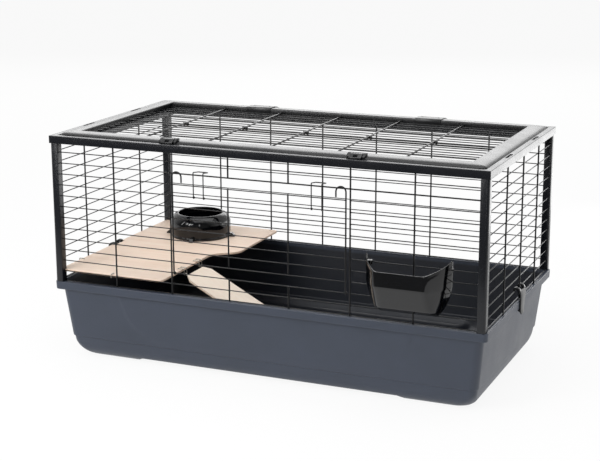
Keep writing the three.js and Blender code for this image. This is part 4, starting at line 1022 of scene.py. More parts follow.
@dataclass
class Tub(SubAssembly):
    """The moulded tub: rim with a hanging lip, sloping walls, four feet and a stepped floor."""

    wall: float = 3.0
    rim_corner: float = 10.0
    rim_land: float = 13.0
    arch_height: float = 10.0
    arch_slope: float = 23.0
    front_arch_half: float = 302.0
    side_arch_half: float = 50.0
    pocket_margin: float = 14.0
    floor_pocket: float = 3.5
    wall_foot: float = 49.5
    wall_round: float = 18.0
    foot_inset: float = 21.5
    top_inset: float = 8.0
    ledge_height: float = 20.0
    ledge_face: float = 225.5
    oval_half: float = 340.0
    oval_bottom: float = 55.0
    oval_top: float = 159.0
    oval_curve: float = 110.0
    oval_raise: float = 1.0
    levels: tuple[tuple[float, float, float], ...] = (
        (0.0, 62.0, 30.0),
        (1.2, 54.0, 30.0),
        (4.5, 45.0, 30.0),
        (11.0, 36.0, 30.0),
        (21.0, 29.5, 26.0),
        (34.0, 26.0, 18.0),
        (47.5, 24.0, 18.0),
    )

    def build(self) -> list[bpy.types.Object]:
        """Builds the tub as one moulding."""
        form = Form()
        rings = [*self._inside(), *self._rim(), *self._outside()]
        form.loft(rings, caps=False)
        self._close(form, rings[0], self._floor_height)
        self._close(form, rings[-1], self._underside_height)
        mesh = form.mesh("tub", sharp=32)
        return [piece("tub_moulding", mesh, self.finishes.tub, "cage", ["tub"])]

    def _xs(self) -> list[float]:
        """Places along X where every ring has a point."""
        edges = [298, 302, 306, 310, 314, 318, 322, 325, 328, 335, 339, 343, 347]
        half = sorted({*range(8, 400, 10), *edges, 400})
        return [float(x) for x in [*(-x for x in reversed(half)), *half]]

    def _ys(self) -> list[float]:
        """Places along Y where every ring has a point."""
        edges = [46, 50, 54, 58, 62, 66, 70, 73, 76, 83, 87, 91, 95]
        half = sorted({*range(8, 180, 12), *edges, 180})
        return [float(y) for y in [*(-y for y in reversed(half)), *half]]

    def _ring(self, half_x: float, half_y: float, radius: float, z: float) -> Ring:
        """A rounded rectangle whose straight sides carry the shared places."""
        steps = 10
        ring: Ring = []
        ring.extend(Vector((half_x, y, z)) for y in self._ys())
        ring.extend(self._corner(half_x, half_y, radius, z, 0, steps))
        ring.extend(Vector((x, half_y, z)) for x in reversed(self._xs()))
        ring.extend(self._corner(half_x, half_y, radius, z, 1, steps))
        ring.extend(Vector((-half_x, y, z)) for y in reversed(self._ys()))
        ring.extend(self._corner(half_x, half_y, radius, z, 2, steps))
        ring.extend(Vector((x, -half_y, z)) for x in self._xs())
        ring.extend(self._corner(half_x, half_y, radius, z, 3, steps))
        return ring

    @staticmethod
    def _corner(half_x: float, half_y: float, radius: float, z: float, quarter: int, steps: int) -> Ring:
        """One rounded corner of a ring."""
        sign_x = 1 if quarter in (0, 3) else -1
        sign_y = 1 if quarter < 2 else -1
        points = []
        for step in range(steps + 1):
            angle = (quarter + step / steps) * math.pi / 2
            points.append(
                Vector(
                    (
                        sign_x * (half_x - radius) + radius * math.cos(angle),
                        sign_y * (half_y - radius) + radius * math.sin(angle),
                        z,
                    )
                )
            )
        return points

    @staticmethod
    def _within(place: float, half: float, before: float, after: float) -> float:
        """1 within a half width, 0 beyond it, smooth from before to after its edge."""
        return 1 - smooth_step(half + before, half + after, abs(place))

    def _arch(self, point: Vector) -> float:
        """How far the underside is raised between the feet, from 0 to 1."""
        along = self._within(point.x, self.front_arch_half, -1, self.arch_slope)
        across = self._within(point.y, self.side_arch_half, -1, self.arch_slope)
        return max(along, across)

    def _underside_height(self, point: Vector) -> float:
        """The height of the tub's underside at a place."""
        return self.arch_height * self._arch(point)

    def _floor_height(self, point: Vector) -> float:
        """The height of the tub's floor inside at a place."""
        margin = self.arch_slope + self.pocket_margin
        along = self._within(point.x, self.front_arch_half + margin, -5, 5)
        across = self._within(point.y, self.side_arch_half + margin, -5, 5)
        return self.floor_pocket + (PLAN.tub_floor_z - self.floor_pocket) * max(along, across)

    def _set_in(self, inset: float, radius: float, z: float) -> Ring:
        """A ring that lies inside the cage's outline by an inset."""
        return self._ring(PLAN.half_x - inset, PLAN.half_y - inset, radius, z)

    def _inside(self) -> list[Ring]:
        """The rings of the inner wall, from the floor up to the rim."""
        rings = [
            self._set_in(52, 27, self.floor_pocket),
            self._set_in(46, 27, self.floor_pocket + 1),
            self._set_in(42, 27, self.floor_pocket + 3),
        ]
        profile = smooth_line([level for level in self.levels if level[0] > 10], 3)
        rise = PLAN.tub_height - self.wall - self.wall_foot
        spread = self.foot_inset - self.top_inset
        for step in range(6):
            share = step / 5
            profile.append((self.wall_foot + rise * share, self.foot_inset - spread * share, self.wall_round))
        for z, inset, radius in profile:
            rings.append(self._set_in(inset + self.wall, radius - 3, z))
        for ring in rings:
            for point in ring:
                point.z = max(point.z, self._floor_height(point))
                self._press_ledge(point)
        return rings

    def _press_ledge(self, point: Vector) -> None:
        """Moves a point of a long inner wall onto the rounded ledge over the arch."""
        top = PLAN.tub_floor_z + self.ledge_height
        share = self._within(point.x, self.front_arch_half, -4, self.arch_slope - 2)
        if share <= 0 or point.z > top + 12:
            return
        over = max(point.z - (top - 8), 0.0)
        face = self.ledge_face + over * over * 0.12
        if abs(point.y) > face:
            moved = face + (abs(point.y) - face) * (1 - share)
            point.y = math.copysign(moved, point.y)

    def _rim(self) -> list[Ring]:
        """The rings over the rim's flat top and down its lip."""
        land_x = PLAN.half_x + PLAN.rim_overhang_x - self.rim_land
        land_y = PLAN.half_y + PLAN.rim_overhang_y - self.rim_land
        out_x = PLAN.half_x + PLAN.rim_overhang_x
        out_y = PLAN.half_y + PLAN.rim_overhang_y
        top = PLAN.tub_height
        under = top - PLAN.lip_depth
        rings = []
        for push, drop in ((0.0, 1.4), (0.3, 0.5), (1.2, 0.0), (2.2, 0.0)):
            rings.append(self._ring(land_x + push, land_y + push, 18, top - drop))
        for push, drop in ((2.4, 0.0), (1.4, 0.0), (0.7, 0.25), (0.2, 0.8), (0.0, 1.6), (0.1, 2.6)):
            rings.append(self._ring(out_x - push, out_y - push, self.rim_corner, top - drop))
        hanging = ((0.65, under + 3.0), (0.8, under + 0.6), (1.2, under), (2.9, under), (3.5, under + 0.6))
        for push, z in hanging:
            rings.append(self._ring(out_x - push, out_y - push, self.rim_corner - 0.5, z))
        rings.append(self._ring(out_x - 3.0, out_y - 3.0, 8, top - self.wall - 1.5))
        rings.append(self._ring(out_x - 4.2, out_y - 4.2, 8.5, top - self.wall - 0.6))
        return rings

    def _outside(self) -> list[Ring]:
        """The rings of the outer wall, from under the rim down to the foot."""
        rings = []
        top = PLAN.tub_height - self.wall
        spread = self.foot_inset - self.top_inset
        heights = [top - 0.8, *(top - 3 - 6.2 * step for step in range(20)), 52.0, 49.6]
        for z in heights:
            inset = self.top_inset + spread * (top - z) / (top - self.wall_foot + 0.5)
            rings.append(self._set_in(inset, self.wall_round, z))
        rings.append(self._set_in(21.8, self.wall_round, 48.9))
        rings.append(self._set_in(23.4, self.wall_round, 48.0))
        for z, inset, radius in reversed(smooth_line(self.levels, 3)):
            rings.append(self._set_in(inset, radius, z))
        for ring in rings:
            for point in ring:
                self._raise_oval(point)
                if point.z < self.arch_height:
                    point.z = max(point.z, self._underside_height(point))
        return rings

    def _raise_oval(self, point: Vector) -> None:
        """Lifts a point of a long outer wall onto the raised panel."""
        if abs(point.y) < PLAN.half_y - 23 or point.z < self.oval_bottom - 6:
            return
        reach = max(abs(point.x) - (self.oval_half - self.oval_curve), 0.0) / self.oval_curve
        if reach >= 1.06:
            return
        low = self.oval_top - (self.oval_top - self.oval_bottom) * math.sqrt(max(1 - reach * reach, 0.0))
        share = smooth_step(low - 1.5, low + 4.5, point.z) * (1 - smooth_step(150, 165, point.z))
        point.y += math.copysign(self.oval_raise * share, point.y)

    def _close(self, form: Form, ring: Ring, height: Callable[[Vector], float]) -> None:
        """Fills a ring with a grid that follows a floor's height.

        Args:
            form: The form to add to.
            ring: The ring to fill.
            height: Gives the height at a place.
        """
        xs, ys = self._xs(), self._ys()
        steps = 11
        grid = []
        for x in xs:
            for y in ys:
                spot = Vector((x, y, 0.0))
                grid.append(Vector((x, y, height(spot))))
        rows = len(ys)
        faces: list[tuple[int, ...]] = []
        for i in range(len(xs) - 1):
            for j in range(rows - 1):
                faces.append((i * rows + j, (i + 1) * rows + j, (i + 1) * rows + j + 1, i * rows + j + 1))
        start = len(grid)
        last = len(xs) - 1

        def edge(run: list[int], offset: int) -> None:
            for k in range(len(run) - 1):
                faces.append((run[k], run[k + 1], start + offset + k + 1, start + offset + k))

        right = [last * rows + j for j in range(rows)]
        back = [i * rows + rows - 1 for i in reversed(range(len(xs)))]
        left = [j for j in reversed(range(rows))]
        front = [i * rows for i in range(len(xs))]
        offset = 0
        for run in (right, back, left, front):
            edge(run, offset)
            offset += len(run)
            for k in range(steps - 1):
                faces.append((run[-1], start + offset + k, start + offset + k + 1))
            faces.append((run[-1], start + offset - 1, start + offset))
            after = (offset + steps) % len(ring)
            faces.append((run[-1], start + offset + steps - 1, start + after))
            offset += steps
        form.add([*grid, *ring], faces)


@dataclass
class WireTop(SubAssembly):
    """The corner posts, the top rails and the four welded walls."""

    post_round: float = 6.0
    rail_wall: float = 2.5
    seat_thickness: float = 2.8
    slot_places: tuple[float, float] = (84.0, 131.0)
    slot_inset: float = 7.5
    slot_width: float = 7.0
    rear_bar_shift: float = 3.7

    def build(self) -> list[bpy.types.Object]:
        """Builds posts, rails and walls."""
        made = [self._post(name, sx, sy) for name, sx, sy in self._corners()]
        made += [self._rail(name, turn) for turn, name in enumerate(("front", "right", "rear", "left"))]
        made += self._walls()
        return made

    @staticmethod
    def _corners() -> list[tuple[str, int, int]]:
        """The four corners by name and sign."""
        return [
            ("front_left", -1, -1),
            ("front_right", 1, -1),
            ("rear_left", -1, 1),
            ("rear_right", 1, 1),
        ]

    def _post(self, name: str, sign_x: int, sign_y: int) -> bpy.types.Object:
        """A corner post with a round outer edge and eased inner ones."""
        x0, y0, size = PLAN.post_in_x, PLAN.post_in_y, PLAN.post_size
        turn = self.post_round
        outline = [(x0, y0), (x0 + size, y0)]
        for step in range(9):
            angle = step / 8 * math.pi / 2
            outline.append(
                (x0 + size - turn + turn * math.cos(angle), y0 + size - turn + turn * math.sin(angle))
            )
        outline.append((x0, y0 + size))
        signed = [(sign_x * x, sign_y * y) for x, y in outline]
        form = Form()
        low = PLAN.tub_height + PLAN.gap
        form.prism(signed, low, PLAN.rail_z - PLAN.gap, Axis.Z)
        mesh = form.mesh(name, bevel=0.7, sharp=40)
        return piece(f"post_{name}", mesh, self.finishes.frame, "cage", [f"corner_post_{name}"])

    def _profile(self) -> list[tuple[float, float]]:
        """The rail's section as (inset from the outline, height)."""
        web = PLAN.rail_ledge - self.rail_wall
        seat = PLAN.rail_ledge + PLAN.seat_width
        under = PLAN.seat_z - self.seat_thickness
        corners = [
            (0.0, PLAN.rail_z),
            (self.rail_wall, PLAN.rail_z),
            (self.rail_wall, PLAN.ledge_z - self.rail_wall),
            (web, PLAN.ledge_z - self.rail_wall),
            (web, PLAN.rail_z),
            (PLAN.rail_ledge, PLAN.rail_z),
            (PLAN.rail_ledge, under),
            (seat - self.rail_wall, under),
            (seat - self.rail_wall, PLAN.seat_z - PLAN.seat_skirt),
            (seat, PLAN.seat_z - PLAN.seat_skirt),
            (seat, PLAN.seat_z),
            (PLAN.rail_ledge, PLAN.seat_z),
            (PLAN.rail_ledge, PLAN.ledge_z),
            (0.0, PLAN.ledge_z),
        ]
        return rounded_outline(corners, 1.0, 3)

    def _rail(self, name: str, turn: int) -> bpy.types.Object:
        """One top rail, mitred into its neighbours.

        Args:
            name: Which side it is on.
            turn: Quarter turns from the front.

        Returns:
            The rail.
        """
        half, across = (PLAN.half_x, PLAN.half_y) if turn % 2 == 0 else (PLAN.half_y, PLAN.half_x)
        rings = []
        for sign in (-1, 1):
            ring = []
            for inset, z in self._profile():
                ring.append(Vector((sign * (half - inset - PLAN.gap / 2), inset - across, z)))
            rings.append(ring)
        form = Form()
        form.loft(rings)
        form.moved(Matrix.Rotation(turn * math.pi / 2, 4, "Z"))
        mesh = form.mesh(f"rail_{name}", sharp=40)
        if turn % 2:
            mesh = carved(mesh, self._slots(1 if turn == 1 else -1), sharp=40)
        return piece(f"rail_{name}", mesh, self.finishes.frame, "cage", [f"top_rail_{name}"])

    def _slots(self, sign: int) -> Form:
        """The long slots in a side rail's ledge."""
        form = Form()
        x = sign * (PLAN.half_x - self.slot_inset)
        low, high = self.slot_places
        reach = self.slot_width / 2
        for y0, y1 in ((low, high), (-high, -low)):
            ends = [(x, y0 + reach), (x, y1 - reach)]
            outline = []
            for (cx, cy), start in zip(ends, (math.pi, 0.0)):
                for step in range(7):
                    angle = start + step / 6 * math.pi
                    outline.append((cx + reach * math.cos(angle), cy + reach * math.sin(angle)))
            form.prism(outline, PLAN.ledge_z - 2 * self.rail_wall, PLAN.ledge_z + 2, Axis.Z)
        return form

    def _walls(self) -> list[bpy.types.Object]:
        """The four welded walls."""
        long_half = PLAN.post_in_x - PLAN.gap
        short_half = PLAN.post_in_y - PLAN.gap
        made = []
        rear = self._plain(long_half, 6, PLAN.bar_pitch, -self.rear_bar_shift)
        plans = [
            ("rear", rear, 2, (0.0, -PLAN.front_row_y)),
            ("right", self._plain(short_half, 3, PLAN.side_bar_pitch), 1, (PLAN.side_row_x, 0.0)),
            ("left", self._plain(short_half, 3, PLAN.side_bar_pitch), 3, (-PLAN.side_row_x, 0.0)),
            ("front", self._front(long_half), 0, (0.0, PLAN.front_row_y)),
        ]
        for name, form, turn, (x, y) in plans:
            form.moved(Matrix.Translation((x, y, 0)) @ Matrix.Rotation(turn * math.pi / 2, 4, "Z"))
            mesh = form.mesh(f"wall_{name}", sharp=50)
            made.append(
                piece(f"wire_wall_{name}", mesh, self.finishes.wire, "cage", [f"wire_panel_{name}"])
            )
        return made

    def _upright(self, form: Form, x: float, low: float, high: float) -> None:
        """An upright bar in front of the level wires."""
        form.tube([(x, -PLAN.bar_offset, low), (x, -PLAN.bar_offset, high)], PLAN.bar_radius, 14)

    def _level(self, form: Form, z: float, low: float, high: float) -> None:
        """A level wire."""
        form.tube([(low, 0, z), (high, 0, z)], PLAN.row_radius, 10)

    def _weld(self, form: Form, x: float, z: float) -> None:
        """The small swelling where a level wire is welded to an upright."""
        form.tube(
            [(x - 2.6, -0.35, z), (x - 1.4, -0.55, z), (x + 1.4, -0.55, z), (x + 2.6, -0.35, z)],
            PLAN.row_radius + 0.25,
            8,
        )

    def _plain(self, half: float, bars: int, pitch: float, shift: float = 0.0) -> Form:
        """A closed wall of wire about the middle, facing -Y."""
        form = Form()
        places = [shift + (index - (bars - 1) / 2) * pitch for index in range(bars)]
        for z in PLAN.row_heights():
            self._level(form, z, -half, half)
            for x in places:
                self._weld(form, x, z)
        for x in places:
            self._upright(form, x, PLAN.tub_height + 2 * PLAN.gap, PLAN.rail_z - PLAN.gap)
        return form

    def _front(self, half: float) -> Form:
        """The front wall, with the door's opening between its two middle bars."""
        form = Form()
        places = [(index - 2.5) * PLAN.bar_pitch for index in range(6)]
        jamb = places[4]
        for number, z in enumerate(PLAN.row_heights(), start=1):
            beside_door = 3 <= number < 11
            if beside_door:
                self._level(form, z, -half, -jamb)
                self._level(form, z, jamb, half)
            else:
                self._level(form, z, -half, half)
            for x in places:
                if not (beside_door and abs(x) < jamb - 1):
                    self._weld(form, x, z)
        low, high = PLAN.tub_height + 2 * PLAN.gap, PLAN.rail_z - PLAN.gap
        for x in places:
            if abs(x) < jamb - 1:
                self._upright(form, x, PLAN.row_z(2) - PLAN.row_radius, high)
                self._upright(form, x, low, PLAN.row_z(11) + PLAN.row_radius)
            else:
                self._upright(form, x, low, high)
        return form


@dataclass
class FrontDoor(SubAssembly):
    """The drop-down wire door with its curled rods, and the two hoops that hold it shut."""

    half: float = 199.1
    shift: float = -1.8
    forward: float = 1.0
    rod_radius: float = 1.7
    bar_x: float = 69.0
    bar_shift: float = -0.7
    curl_radius: float = 11.0
    curl_tail: float = 12.0
    hoop_radius: float = 1.2
    hoop_width: float = 23.5
    hoop_centres: tuple[float, float] = (-138.0, 133.0)
    hoop_rise: float = 55.0
    hoop_reach: float = 22.0
    hoop_dip: float = 3.5
    foot_eye: tuple[float, float, float] = (1.5, 3.4, 3.6)
    hoop_eye_gap: float = 0.15
    hoop_eye_wall: float = 1.5
    hoop_eye_width: float = 1.8

    @property
    def row_y(self) -> float:
        """The middle of the door's level wires."""
        return PLAN.front_row_y - self.forward

    @property
    def eye_hole(self) -> float:
        """The eyes' inner radius."""
        return PLAN.row_square / math.sqrt(2) + PLAN.gap

    def build(self) -> list[bpy.types.Object]:
        """Builds the door and its hoops."""
        made = [self._door()]
        for side, centre in zip(Side, self.hoop_centres):
            made.append(self._hoop(side, centre))
        return made

    def _door(self) -> bpy.types.Object:
        """The welded door."""
        form = Form()
        offset = PLAN.row_radius + self.rod_radius - PLAN.bar_bite / 2
        rod_y, bar_y = self.row_y - offset, self.row_y + offset
        reach = self.half + 1
        for number in range(3, 11):
            z = PLAN.row_z(number)
            form.tube([(-reach, self.row_y, z), (reach, self.row_y, z)], PLAN.row_radius, 10)
        for sign in (-1, 1):
            x = sign * self.bar_x + self.bar_shift
            low, high = PLAN.row_z(10) - 1.2, PLAN.row_z(3) + 1.2
            form.tube([(x, bar_y, low), (x, bar_y, high)], self.rod_radius, 14)
            form.eye((sign * self.half, PLAN.front_row_y, PLAN.row_z(11)), *self.foot_eye)
            form.tube(self._rod_path(sign, rod_y), self.rod_radius, 14)
        form.moved(Matrix.Translation((self.shift, 0, 0)))
        mesh = form.mesh("front_door", sharp=50)
        return piece("drop_door", mesh, self.finishes.wire, "front_door", ["front_door"])

    def _rod_path(self, sign: int, y: float) -> list[tuple[float, float, float]]:
        """A side rod: up from its eye, with a curl turned in over the wire above the door."""
        top = PLAN.row_z(2) + self.rod_radius + 2
        path = [(sign * self.half, y, PLAN.row_z(11) - self.eye_hole)]
        for step in range(13):
            angle = step / 12 * math.pi
            x = sign * (self.half - self.curl_radius + self.curl_radius * math.cos(angle))
            path.append((x, y, top - self.curl_radius + self.curl_radius * math.sin(angle)))
        path.append((sign * (self.half - 2 * self.curl_radius), y, top - self.curl_radius - self.curl_tail))
        return path

    def _hoop(self, side: Side, centre: float) -> bpy.types.Object:
        """A hoop that turns on a wire of the door and hooks back over the one above it."""
        y = self.row_y - self.eye_hole - self.hoop_radius
        z = PLAN.row_z(4)
        half = self.hoop_width / 2
        tip_y = self.row_y + self.hoop_reach - self.hoop_radius
        tip_z = z + self.hoop_rise - self.hoop_dip + 0.3
        left, right = centre - half, centre + half
        corners = [
            (left, y, z - self.eye_hole),
            (left, y, z + self.hoop_rise),
            (left, tip_y, tip_z),
            (right, tip_y, tip_z),
            (right, y, z + self.hoop_rise),
            (right, y, z - self.eye_hole),
        ]
        form = Form()
        form.tube(fillet(corners, 3.2, 5), self.hoop_radius, 12)
        hole, outer = PLAN.row_radius + self.hoop_eye_gap, PLAN.row_radius + self.hoop_eye_wall
        for x in (left, right):
            form.eye((x, self.row_y, z), hole, outer, self.hoop_eye_width)
        mesh = form.mesh(f"hoop_{side.word}", sharp=50)
        body = f"door_hoop_{side.word}"
        return piece(f"hoop_{side.word}", mesh, self.finishes.wire, body, [body])


@dataclass
class Lid(SubAssembly):
    """The hinged lid: a crowned band round a welded grille, with hinges behind and latches in front."""

    shell: float = 2.6
    rows_each_side: int = 8
    bar_pitch: float = 150.0
    rod_radius: float = 2.0
    rod_drop: float = 3.6
    collar_length: float = 13.0
    collar_radius: float = 4.2
    wire_height: float = 4.0
    hardware_x: float = 214.0
    hinge_length: float = 62.0
    hinge_setback: float = 3.0
    hinge_clearance: float = 0.4
    flap_foot: float = 1.4
    leaf: float = 1.6
    knuckle: float = 2.4
    pin: float = 1.0
    latch_width: float = 27.0
    latch_ear: float = 6.0
    latch_lip: float = 5.0
    latch_barrel: float = 2.3
    latch_trunnion: float = 1.3
    latch_inset: float = 13.9
    latch_rise: float = 2.8
    latch_reach: float = 20.0

    def build(self) -> list[bpy.types.Object]:
        """Builds the band, the grille, the hinges and the latches."""
        made = [self._band(), self._grille()]
        for side in Side:
            made += self._hinge(side)
            made += self._latch(side)
        return made

    def _band(self) -> bpy.types.Object:
        """The crowned band."""
        low, top, width = PLAN.lid_z, PLAN.lid_z + PLAN.lid_crown, PLAN.lid_band
        slope = [(0.0, top - 6.5), (0.7, top - 5.3), (2.2, top - 4)]
        slope += [(8, top - 1.7), (16, top - 0.4), (26, top), (32, top)]
        shoulder = [(width - 3.4, top), (width - 1.6, top - 0.3)]
        shoulder += [(width - 0.5, top - 1.2), (width, top - 2.6)]
        over = [(0.0, low), (0.0, low + 0.6), *smooth_line(slope, 4), *smooth_line(shoulder, 3)]
        over += [(width, low + 0.6), (width, low)]
        under = [
            (width - self.shell, low),
            (width - self.shell, top - 3),
            (16, top - 3),
            (self.shell + 1.5, top - 6.6),
            (self.shell, low),
        ]
        rings = []
        for inset, z in [*over, *under]:
            half_x = PLAN.half_x - PLAN.lid_inset - inset
            half_y = PLAN.half_y - PLAN.lid_inset - inset
            rings.append(rectangle_ring(half_x, half_y, max(PLAN.lid_corner - inset, 3.0), z, 8))
        form = Form()
        form.loft(rings, around=True)
        mesh = form.mesh("lid_band", sharp=42)
        return piece("lid_band", mesh, self.finishes.band, "lid", ["lid_ring"])

    def _grille(self) -> bpy.types.Object:
        """The welded grille and its collared middle rod."""
        z = PLAN.lid_z + self.wire_height
        reach_x = PLAN.half_x - PLAN.lid_inset - PLAN.lid_band - PLAN.gap
        reach_y = PLAN.half_y - PLAN.lid_inset - PLAN.lid_band - PLAN.gap
        bar_z = z + PLAN.bar_offset
        rod_z = bar_z - self.rod_drop
        form = Form()
        for k in range(-self.rows_each_side, self.rows_each_side + 1):
            y = k * PLAN.row_pitch
            if k:
                form.tube([(-reach_x, y, z), (reach_x, y, z)], PLAN.row_radius, 10)
        form.tube([(-reach_x, 0, rod_z), (reach_x, 0, rod_z)], self.rod_radius, 16)
        for k in range(-2, 3):
            x = k * self.bar_pitch
            form.tube([(x, -reach_y, bar_z), (x, reach_y, bar_z)], PLAN.bar_radius, 14)
            self._collar(form, x, rod_z + 1)
        mesh = form.mesh("lid_grille", sharp=50)
        return piece("lid_grille_wires", mesh, self.finishes.lid_wire, "lid", ["lid_grille"])

    def _collar(self, form: Form, x: float, z: float) -> None:
        """The ribbed collar that ties a bar to the middle rod."""
        half, outer = self.collar_length / 2, self.collar_radius
        profile = [(0.0, -half), (outer - 1.2, -half), (outer - 0.3, -half + 0.5), (outer, -half + 1.4)]
        profile += [(outer, -2.4), (outer - 0.9, -1.9), (outer - 0.9, 1.9), (outer, 2.4)]
        profile += [(outer, half - 1.4), (outer - 0.3, half - 0.5), (outer - 1.2, half), (0.0, half)]
        form.spun(profile, (x, 0, z), Axis.X, 24)

    def _saddle(self) -> list[tuple[float, float]]:
        """The moving leaf's section: from the pin over the band, and down inside it."""
        edge = PLAN.half_y - PLAN.lid_inset
        y, z = edge + self.hinge_setback, PLAN.ledge_z + PLAN.gap + self.knuckle
        top = PLAN.lid_z + PLAN.lid_crown + self.hinge_clearance
        inner = edge - PLAN.lid_band - self.hinge_clearance
        foot = PLAN.lid_z + self.flap_foot
        leaf = self.leaf
        under = [(y - self.pin, z - 0.5), (edge - 2, top - 3.9)]
        under += [(edge - 8, top - 1.6), (edge - 16, top - 0.2)]
        under += [(inner + 2.8, top), (inner + 0.6, top - 0.9), (inner, top - 2.6), (inner, foot)]
        over = [(inner - leaf, foot), (inner - leaf, top - 2.2)]
        over += [(inner - 0.4, top + 0.7), (inner + 2.4, top + leaf)]
        over += [(edge - 16, top + leaf - 0.2), (edge - 8.6, top + 0.2), (edge - 2.6, top - 2.1)]
        return [*under, *over, (y - self.pin, z + self.knuckle - 0.5)]

    def _hinge(self, side: Side) -> list[bpy.types.Object]:
        """One lid hinge: the fixed leaf, the leaf that saddles the band, and the pin."""
        x = side.value * self.hardware_x
        y = PLAN.half_y - PLAN.lid_inset + self.hinge_setback
        leaf_z = PLAN.ledge_z + PLAN.gap
        z = leaf_z + self.knuckle
        quarter, edge = self.hinge_length / 4, self.hinge_length / 2
        hole = self.pin + PLAN.gap
        behind = y + self.knuckle + PLAN.gap
        fixed = Form()
        rear, plate = PLAN.half_y - 1, leaf_z + self.leaf
        flat = [(behind, leaf_z), (rear, leaf_z), (rear, plate), (behind, plate)]
        fixed.prism(flat, x - edge, x + edge, Axis.X)
        for sign in (-1, 1):
            middle = x + sign * (edge - quarter / 2)
            fixed.eye((middle, y, z), hole, self.knuckle, quarter)
            web = [(y + 1.4, leaf_z), (behind + 0.5, leaf_z), (behind + 0.5, plate), (y + 1.6, z)]
            fixed.prism(web, middle - quarter / 2, middle + quarter / 2, Axis.X)
            fixed.spun(self._rivet(), (middle, PLAN.half_y - 4.6, plate), Axis.Z, 16)
        length = self.hinge_length - 2 * quarter - 2 * PLAN.gap
        saddle = Form()
        saddle.prism(self._saddle(), x - edge, x + edge, Axis.X)
        room = Form()
        front = y - self.knuckle - PLAN.gap
        for sign in (-1, 1):
            near, far = sorted((x + sign * length / 2, x + sign * (edge + 1)))
            block = [(front, PLAN.lid_z), (PLAN.half_y, PLAN.lid_z), (PLAN.half_y, z + 6), (front, z + 6)]
            room.prism(block, near, far, Axis.X)
        flap = carved(saddle.mesh("hinge_flap", 0.35, sharp=40), room, sharp=40)
        fittings = Form()
        fittings.eye((x, y, z), hole, self.knuckle, length)
        crown = PLAN.lid_z + PLAN.lid_crown + self.hinge_clearance + self.leaf
        for sign in (-1, 1):
            fittings.spun(self._rivet(), (x + sign * self.hinge_length * 0.32, y - 22, crown), Axis.Z, 16)
        pin = Form()
        pin.tube([(x - edge, y, z), (x + edge, y, z)], self.pin, 16)
        word, clip = side.word, self.finishes.clip
        foot = fixed.mesh("hinge_foot", 0.35, sharp=40)
        knuckle = fittings.mesh("hinge_knuckle", sharp=40)
        rod, hook = pin.mesh("hinge_pin"), self.finishes.hook
        return [
            piece(f"hinge_foot_{word}", foot, clip, "cage", [f"lid_hinge_leaf_fixed_{word}"]),
            piece(f"hinge_flap_{word}", flap, clip, "lid", [f"lid_hinge_leaf_moving_{word}"]),
            piece(f"hinge_knuckle_{word}", knuckle, clip, "lid"),
            piece(f"hinge_pin_{word}", rod, hook, "cage", [f"lid_hinge_pin_{word}"]),
        ]

    @staticmethod
    def _rivet() -> list[tuple[float, float]]:
        """The profile of a low rivet head, from its middle out."""
        return [(0, 0.55), (0.9, 0.5), (1.6, 0.15), (1.8, -0.5)]

    def _latch(self, side: Side) -> list[bpy.types.Object]:
        """One lid latch: two ears on the band, and the catch between them."""
        x = side.value * self.hardware_x
        edge = -(PLAN.half_y - PLAN.lid_inset)
        y = edge + self.latch_inset
        crown = PLAN.lid_z + PLAN.lid_crown
        z = crown + self.latch_rise
        ledge = PLAN.ledge_z + 2 * PLAN.gap
        half = self.latch_width / 2
        outer = half + PLAN.gap + self.latch_ear
        over_ring = [(edge - 0.3, ledge), (edge + 1.8, crown - 3.5)]
        over_ring += [(edge + 7.8, crown - 1), (edge + 16.9, crown + 0.6)]
        ear = [
            (y - self.latch_reach + self.latch_lip, ledge),
            *over_ring,
            (edge + 16.9, z + 1),
            (y + 1, z + 2.4),
            (y - 5, z + 1.8),
            (y - self.latch_reach + self.latch_lip, ledge + 4.4),
        ]
        base = Form()
        for sign in (-1, 1):
            near, far = sorted((x + sign * (half + PLAN.gap), x + sign * outer))
            base.prism(ear, near, far, Axis.X)
        fore, back, low, high = edge + 17.2, edge + 19.6, crown + 0.6, z + 0.4
        bridge = [(fore, low), (back, low), (back, high), (fore, high)]
        base.prism(bridge, x - outer, x + outer, Axis.X)
        made = [
            piece(
                f"latch_ears_{side.word}",
                base.mesh("latch_ears", 0.5, sharp=40),
                self.finishes.clip,
                "lid",
                [f"lid_latch_base_{side.word}"],
            )
        ]
        front = y - self.latch_reach
        profile = [
            (front, ledge),
            *over_ring[:3],
            (y, z - self.latch_barrel + 0.2),
            (y + 0.8, z + self.latch_barrel - 0.6),
            (y - 9, z + 1.4),
            (front + 2, ledge + 4),
            (front, ledge + 2.6),
        ]
        catch = Form()
        catch.prism(profile, x - half, x + half, Axis.X)
        mesh = catch.mesh("latch_catch", 0.45, sharp=40)
        fore, back = front + 1.6, front + 7.6
        opening = [(x - 5, fore), (x + 5, fore), (x + 5, back), (x - 5, back)]
        window = Form()
        window.prism(rounded_outline(opening, 0.8, 3), ledge - 1, z + 9, Axis.Z)
        mesh = carved(mesh, window, sharp=40)
        body = f"lid_latch_{side.word}"
        clip = self.finishes.clip
        made.append(piece(f"latch_catch_{side.word}", mesh, clip, body, [body]))
        barrel = Form()
        barrel.tube([(x - half, y, z), (x + half, y, z)], self.latch_barrel, 18)
        barrel.tube([(x - outer, y, z), (x + outer, y, z)], self.latch_trunnion, 14)
        made.append(piece(f"latch_barrel_{side.word}", barrel.mesh("latch_barrel"), clip, body))
        return made


